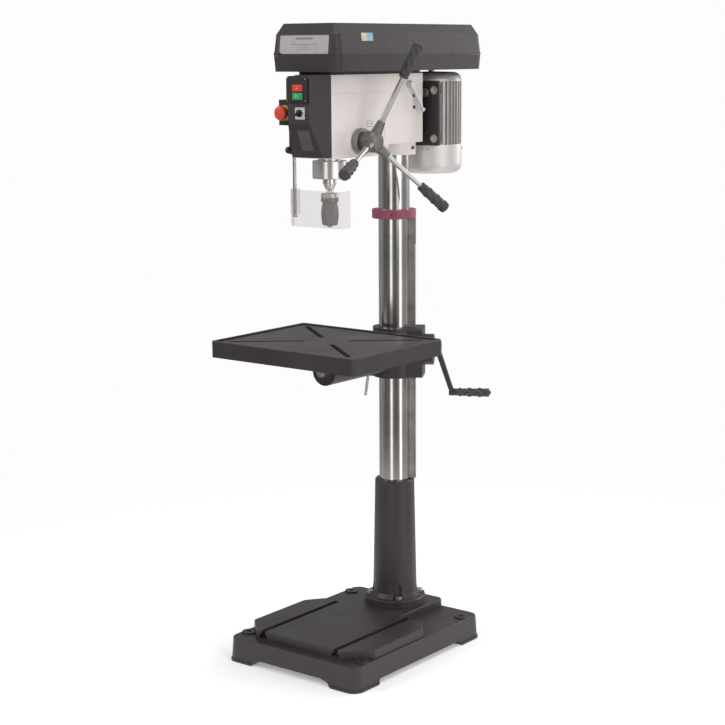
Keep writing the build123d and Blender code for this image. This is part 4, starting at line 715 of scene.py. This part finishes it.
def add_grip(bm, start, end, radius, depth):
    """One grip: a ferrule collar, staggered rows of bumps, and a rounded end."""
    axis = end - start
    length = axis.length
    axis.normalize()

    def bumps(angle, distance):
        """Staggered bumps that fade out at both ends."""
        t = distance / length
        fade = min(1.0, max(0.0, (t - 0.10) / 0.06)) * min(1.0, max(0.0, (0.93 - t) / 0.05))
        return depth * fade * (cos(4 * angle) * cos(pi * GRIP_BUMP_ROWS * t) - 0.25)

    profile = [(0.0, radius * 0.45), (0.0, radius * 0.70), (0.002, radius * 0.80), (0.008, radius * 0.80),
               (0.010, radius * 0.72)]
    for step in range(GRIP_STEPS + 1):
        t = 0.12 + (0.955 - 0.12) * step / GRIP_STEPS
        profile.append((t * length, radius * (0.84 + 0.12 * t)))
    profile += [(0.972 * length, radius * 0.93), (0.985 * length, radius * 0.84),
                (0.995 * length, radius * 0.66), (length, radius * 0.40), (length, 0.0)]
    add_lathe(bm, start, axis, [(0.0, 0.0)] + profile, 72, bumps)


class DRILL_OT_chuck(FinishOperator):
    """Makes the fluted sleeve of the keyless chuck and finishes its body."""
    bl_idname = "drill_press.chuck"
    bl_label = "Chuck"

    def execute(self, context):
        dress("steel", "chuck_body")
        low, high = (Vector(corner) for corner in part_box("chuck_sleeve"))
        middle = (low + high) / 2
        height = high.z - low.z
        depth, count = self.sizes.chuck_flute, self.sizes.chuck_flutes

        def flutes(angle, distance):
            """Flutes on the band at the top and on the waist."""
            t = distance / height
            on_waist = min(1.0, max(0.0, (t - 0.10) / 0.05)) * min(1.0, max(0.0, (0.76 - t) / 0.05))
            on_band = 1.0 if 0.90 < t < 0.975 else 0.0
            return -depth * max(on_waist, 0.6 * on_band) * (0.5 - 0.5 * cos(count * angle)) ** 2

        # (share of the height, radius in mm) up the outside, then down the bore
        outside = [(0.0, 12.6), (0.0, 19.3), (0.012, 20.6), (0.035, 21.5), (0.12, 22.8), (0.22, 24.0),
                   (0.33, 24.8), (0.45, 24.9), (0.58, 24.2), (0.70, 22.8), (0.79, 21.2), (0.82, 21.1),
                   (0.875, 24.3), (0.895, 24.9), (0.90, 24.9), (0.94, 24.9), (0.975, 24.9),
                   (0.99, 24.7), (1.0, 24.2)]
        inside = [(1.0, 15.1), (0.17, 15.1), (0.0, 12.6)]
        profile = []
        for (t0, r0), (t1, r1) in zip(outside, outside[1:]):
            steps = 5 if t1 - t0 > 0.05 else 1
            for step in range(steps):
                part = step / steps
                profile.append(((t0 + (t1 - t0) * part) * height, (r0 + (r1 - r0) * part) * 0.001))
        profile += [(outside[-1][0] * height, outside[-1][1] * 0.001)]
        profile += [(t * height, r * 0.001) for t, r in inside]
        bm = bmesh.new()
        add_lathe(bm, Vector((middle.x, middle.y, low.z)), Vector((0, 0, 1)), profile, 220, flutes)
        mesh_piece("chuck_grip_sleeve", finish_bmesh(bm, "chuck_grip_sleeve"), "chuck", "sleeve",
                   40.0, ("chuck_sleeve",))
        return {"FINISHED"}


class DRILL_OT_dial(FinishOperator):
    """Engraves the depth ring with marks and numbers."""
    bl_idname = "drill_press.dial"
    bl_label = "Depth dial"

    def execute(self, context):
        low, high = (Vector(corner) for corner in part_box("depth_ring"))
        centre = (low + high) / 2
        radius = (high.y - low.y) / 2
        turn = Matrix.Rotation(radians(90), 4, "Y")
        count = self.sizes.dial_marks
        for name, number, length, across in (("dial_fine_marks", count, 0.0045, 0.0005),
                                             ("dial_long_marks", count // 5, 0.0080, 0.0008)):
            place = Matrix.Translation((high.x - 0.0035 - length / 2, centre.y, centre.z)) @ turn
            mark_ring(name, number, radius, (0.0004, across, length), place, "print", "stop_ring")
        if self.sizes.dial_numbers:
            meshes = []
            for step in range(count // 5):
                words = bpy.data.curves.new("number", "FONT")
                words.body = str(step * 10)
                words.size = 0.0062
                words.align_x, words.align_y = "CENTER", "CENTER"
                words.extrude = 0.0002
                words.resolution_u = 2
                carrier = bpy.data.objects.new("number", words)
                bpy.context.scene.collection.objects.link(carrier)
                graph = context.evaluated_depsgraph_get()
                mesh = bpy.data.meshes.new_from_object(carrier.evaluated_get(graph), depsgraph=graph)
                bpy.data.objects.remove(carrier)
                angle = 2 * pi * step / (count // 5)
                outward = Vector((0, -sin(angle), cos(angle)))
                place = facing((low.x + 0.0058, centre.y + outward.y * radius, centre.z + outward.z * radius),
                               outward, (1, 0, 0))
                mesh.transform(place)
                meshes.append(mesh)
            bm = bmesh.new()
            for mesh in meshes:
                bm.from_mesh(mesh)
            mesh_piece("dial_numbers", finish_bmesh(bm, "dial_numbers"), "print", "stop_ring",
                       0)
        return {"FINISHED"}


def on_lid_front(across, height):
    """A place on the lid's leaning front face."""
    y = LID_FRONT_Y + (height - LID_PARTING) * tan(LID_LEAN)
    return facing((across, y, height), (0, -cos(LID_LEAN), sin(LID_LEAN)))


def on_lid_side(along, height):
    """A place on the lid's leaning right face."""
    x = LID_HALF - (height - LID_PARTING) * tan(LID_LEAN)
    return facing((x, along, height), (cos(LID_LEAN), 0, sin(LID_LEAN)))


class DRILL_OT_labels(FinishOperator):
    """Makes the blank plates and foils, which carry no lettering."""
    bl_idname = "drill_press.labels"
    bl_label = "Labels"

    def execute(self, context):
        plate = on_lid_front(0.0035, 1.7725)
        foils_z = 1.793
        head_place = facing((HEAD_SIDE, 0.0575, 1.527), (1, 0, 0))
        # name, finish, body, slot, place, width, height, thickness, corner radius
        sheets = (
            ("front_label", "label", "lid", "ground_steel", plate, 0.170, 0.0500, 0.0006, 0.003),
            ("side_foil_left", "cream", "lid", "white_plastic", on_lid_side(-0.0895, foils_z),
             0.026, 0.022, 0.0004, 0.001),
            ("side_foil_right", "blue", "lid", "white_plastic", on_lid_side(-0.0635, foils_z),
             0.024, 0.022, 0.0004, 0.001),
            ("head_foil", "white", "machine", "white_plastic", head_place, 0.019, 0.030, 0.0004, 0.001),
        )
        for name, finish, body, slot, place, width, height, thickness, corner in sheets:
            bm = bmesh.new()
            add_plate(bm, place, width, height, thickness, corner)
            mesh_piece(name, finish_bmesh(bm, name), finish, body, 0)
        bm = bmesh.new()
        for across, up, width, height in ((0.000, 0.0165, 0.060, 0.0050), (0.0, 0.0010, 0.090, 0.0016),
                                          (0.0, -0.0060, 0.040, 0.0012), (0.0, -0.0130, 0.052, 0.0012)):
            add_plate(bm, plate @ Matrix.Translation((across, up, 0.0005)), width, height, 0.0003, 0.0005)
        mesh_piece("front_label_bars", finish_bmesh(bm, "front_label_bars"), "print", "lid",
                   0)
        bm = bmesh.new()
        outline = facing((HEAD_SIDE, -0.006, 1.5540), (1, 0, 0))
        for across, up, width, height in ((0, 0.0075, 0.026, 0.0012), (0, -0.0075, 0.026, 0.0012),
                                          (0, 0.0, 0.016, 0.0012), (-0.0124, 0, 0.0012, 0.015),
                                          (0.0124, 0, 0.0012, 0.015)):
            add_plate(bm, outline @ Matrix.Translation((across, up, -0.0001)), width, height, 0.0004, 0.0004)
        mesh_piece("head_frame_mark", finish_bmesh(bm, "head_frame_mark"), "print", "machine",
                   0)
        return {"FINISHED"}


class DRILL_OT_screws(FinishOperator):
    """Sets socket screws on the switch panel and the motor cowl."""
    bl_idname = "drill_press.screws"
    bl_label = "Screws"

    def execute(self, context):
        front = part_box("switch_housing")
        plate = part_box("rotary_plate")
        machine = [((x, front[0][1] + 0.0005, z), (0, -1, 0))
                   for x in (front[0][0] + 0.004, front[1][0] - 0.004)
                   for z in (front[0][2] + 0.004, front[1][2] - 0.004)]
        screws_at("switch_screws", machine, 0.0018, "steel", "machine")
        corners = [((x, plate[0][1] + 0.0003, z), (0, -1, 0))
                   for x in (plate[0][0] + 0.003, plate[1][0] - 0.003)
                   for z in (plate[0][2] + 0.003, plate[1][2] - 0.003)]
        screws_at("rotary_screws", corners, 0.0014, "steel", "machine")
        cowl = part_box("motor_cowl")
        middle_y = (cowl[0][1] + cowl[1][1]) / 2
        reach = (cowl[1][0] - cowl[0][0]) / 2
        ring = []
        for turn in (30, 120, 210, 300):
            outward = Vector((cos(radians(turn)), sin(radians(turn)), 0))
            ring.append((Vector((0, middle_y, cowl[1][2] - 0.012)) + outward * (reach - 0.0003), outward))
        screws_at("cowl_screws", ring, self.sizes.screw_radius, "steel", "motor")
        return {"FINISHED"}


class DRILL_OT_stage(FinishOperator):
    """Sets the floor, the lights and the camera."""
    bl_idname = "drill_press.stage"
    bl_label = "Stage"

    def execute(self, context):
        bm = bmesh.new()
        bmesh.ops.create_circle(bm, cap_ends=True, segments=96, radius=FLOOR_RADIUS)
        mesh = finish_bmesh(bm, "floor")
        floor = bpy.data.objects.new("floor", mesh)
        context.scene.collection.objects.link(floor)
        mesh.materials.append(floor_finish())
        world = bpy.data.worlds.new("studio")
        context.scene.world = world
        world.use_nodes = True
        light_room(world.node_tree)
        for name, place, size, power in LIGHTS:
            light = bpy.data.lights.new(name, "AREA")
            light.shape = "RECTANGLE"
            light.size, light.size_y = size
            light.energy = power
            lamp = bpy.data.objects.new(name, light)
            lamp.location = place
            lamp.rotation_euler = (Vector((0, 0, 1.0)) - Vector(place)).to_track_quat("-Z", "Y").to_euler()
            context.scene.collection.objects.link(lamp)
        camera = bpy.data.objects.new("camera", bpy.data.cameras.new("camera"))
        camera.data.lens = CAMERA_LENS
        camera.data.sensor_width = 36.0
        camera.data.clip_end = 100.0
        yaw, pitch, roll = (radians(angle) for angle in CAMERA_TURN)
        ahead = Vector((-sin(yaw) * cos(pitch), cos(yaw) * cos(pitch), -sin(pitch)))
        right = ahead.cross(Vector((0, 0, 1))).normalized()
        up = right.cross(ahead)
        leaned_right = right * cos(roll) + up * sin(roll)
        leaned_up = up * cos(roll) - right * sin(roll)
        camera.matrix_world = Matrix.Translation(CAMERA_PLACE) @ Matrix(
            (leaned_right, leaned_up, -ahead)).transposed().to_4x4()
        context.scene.collection.objects.link(camera)
        context.scene.camera = camera
        context.scene.view_settings.view_transform = "Standard"
        return {"FINISHED"}


CAMERA_LENS = 85.7
CAMERA_PLACE = (3.0415, -3.8745, 1.7573)
CAMERA_TURN = (37.87, 10.26, -0.34)  # yaw, pitch and roll in degrees
FLOOR_RADIUS = 2.6
FLOOR_GLOW = 0.30
# name, place, size and power in watts
LIGHTS = (
    ("key", (-2.6, -3.4, 3.4), (2.2, 2.2), 78.0),
    ("fill", (3.8, -1.6, 2.2), (1.6, 2.6), 26.0),
    ("top", (0.3, 0.4, 4.6), (2.5, 2.5), 45.0),
    ("rim", (1.2, 3.6, 2.4), (1.4, 2.4), 40.0),
)


def light_room(tree):
    """A white room: plain where it is seen, with soft light and dark strips where metal reflects it."""
    seen = tree.nodes["Background"]
    seen.inputs["Color"].default_value = (1.0, 1.0, 1.0, 1.0)
    seen.inputs["Strength"].default_value = 0.98
    place = tree.nodes.new("ShaderNodeTexCoord")
    split = tree.nodes.new("ShaderNodeSeparateXYZ")
    turn = tree.nodes.new("ShaderNodeMath")
    turn.operation = "ARCTAN2"
    around = tree.nodes.new("ShaderNodeMapRange")
    around.inputs["From Min"].default_value = -pi
    around.inputs["From Max"].default_value = pi
    strips = tree.nodes.new("ShaderNodeValToRGB")
    ramp = strips.color_ramp
    while len(ramp.elements) < len(ROOM_STRIPS):
        ramp.elements.new(0.5)
    for element, (position, value) in zip(ramp.elements, ROOM_STRIPS):
        element.position = position
        element.color = (value, value * 0.985, value * 0.975, 1.0)
    reflected = tree.nodes.new("ShaderNodeBackground")
    reflected.inputs["Strength"].default_value = ROOM_STRENGTH
    path = tree.nodes.new("ShaderNodeLightPath")
    mix = tree.nodes.new("ShaderNodeMixShader")
    tree.links.new(place.outputs["Generated"], split.inputs["Vector"])
    tree.links.new(split.outputs["Y"], turn.inputs[0])
    tree.links.new(split.outputs["X"], turn.inputs[1])
    tree.links.new(turn.outputs["Value"], around.inputs["Value"])
    tree.links.new(around.outputs["Result"], strips.inputs["Fac"])
    tree.links.new(strips.outputs["Color"], reflected.inputs["Color"])
    tree.links.new(path.outputs["Is Camera Ray"], mix.inputs["Fac"])
    tree.links.new(reflected.outputs["Background"], mix.inputs[1])
    tree.links.new(seen.outputs["Background"], mix.inputs[2])
    tree.links.new(mix.outputs["Shader"], tree.nodes["World Output"].inputs["Surface"])


# Brightness of the room round the machine, from -X (0) through -Y (0.25), +X (0.5) and +Y (0.75).
ROOM_STRIPS = ((0.0, 0.12), (0.05, 0.16), (0.14, 0.055), (0.262, 0.07), (0.278, 0.78), (0.304, 0.78),
               (0.320, 0.10), (0.38, 0.045), (0.456, 0.10), (0.470, 1.0), (0.498, 1.0), (0.516, 0.20),
               (0.58, 0.12), (0.68, 0.26), (0.85, 0.20), (1.0, 0.12))
ROOM_STRENGTH = 2.3


def floor_finish():
    """Pale floor that thins out into the white room with distance."""
    material = bpy.data.materials.new("floor_pale")
    material.use_nodes = True
    tree = material.node_tree
    shader = tree.nodes["Principled BSDF"]
    shader.inputs["Base Color"].default_value = (0.92, 0.92, 0.92, 1.0)
    shader.inputs["Roughness"].default_value = 0.8
    shader.inputs["Specular IOR Level"].default_value = 0.2
    shader.inputs["Emission Color"].default_value = (1.0, 1.0, 1.0, 1.0)
    shader.inputs["Emission Strength"].default_value = FLOOR_GLOW
    clear = tree.nodes.new("ShaderNodeBsdfTransparent")
    mix = tree.nodes.new("ShaderNodeMixShader")
    place = tree.nodes.new("ShaderNodeTexCoord")
    reach = tree.nodes.new("ShaderNodeVectorMath")
    reach.operation = "LENGTH"
    fade = tree.nodes.new("ShaderNodeMapRange")
    fade.inputs["From Min"].default_value = 0.5
    fade.inputs["From Max"].default_value = FLOOR_RADIUS * 0.95
    fade.interpolation_type = "SMOOTHSTEP"
    tree.links.new(place.outputs["Object"], reach.inputs[0])
    tree.links.new(reach.outputs["Value"], fade.inputs["Value"])
    tree.links.new(fade.outputs["Result"], mix.inputs["Fac"])
    tree.links.new(shader.outputs["BSDF"], mix.inputs[1])
    tree.links.new(clear.outputs["BSDF"], mix.inputs[2])
    tree.links.new(mix.outputs["Shader"], tree.nodes["Material Output"].inputs["Surface"])
    return material


# ---------------------------------------------------------------- add-on
OPERATORS = (DRILL_OT_castings, DRILL_OT_bright_parts, DRILL_OT_covers, DRILL_OT_controls, DRILL_OT_grips,
             DRILL_OT_chuck, DRILL_OT_dial, DRILL_OT_labels, DRILL_OT_screws, DRILL_OT_stage)


class DRILL_PT_panel(bpy.types.Panel):
    """Lists the settings and the operators."""
    bl_idname = "DRILL_PT_panel"
    bl_label = "Drill Press"
    bl_space_type = "VIEW_3D"
    bl_region_type = "UI"
    bl_category = "Drill Press"

    def draw(self, context):
        layout = self.layout
        for group in (context.scene.drill_press_colours, context.scene.drill_press_sizes):
            for label in group.__annotations__:
                layout.prop(group, label)
        for operator in OPERATORS:
            layout.operator(operator.bl_idname)


CLASSES = (DrillPressColours, DrillPressSizes, *OPERATORS, DRILL_PT_panel)


def register():
    """Registers the classes and the settings."""
    for item in CLASSES:
        bpy.utils.register_class(item)
    bpy.types.Scene.drill_press_colours = PointerProperty(type=DrillPressColours)
    bpy.types.Scene.drill_press_sizes = PointerProperty(type=DrillPressSizes)


def unregister():
    """Removes the settings and the classes."""
    del bpy.types.Scene.drill_press_sizes
    del bpy.types.Scene.drill_press_colours
    for item in reversed(CLASSES):
        bpy.utils.unregister_class(item)


def main():
    """Registers the add-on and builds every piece."""
    register()
    for operator in OPERATORS:
        group, action = operator.bl_idname.split(".")
        getattr(getattr(bpy.ops, group), action)()


if __name__ == "__main__":
    main()
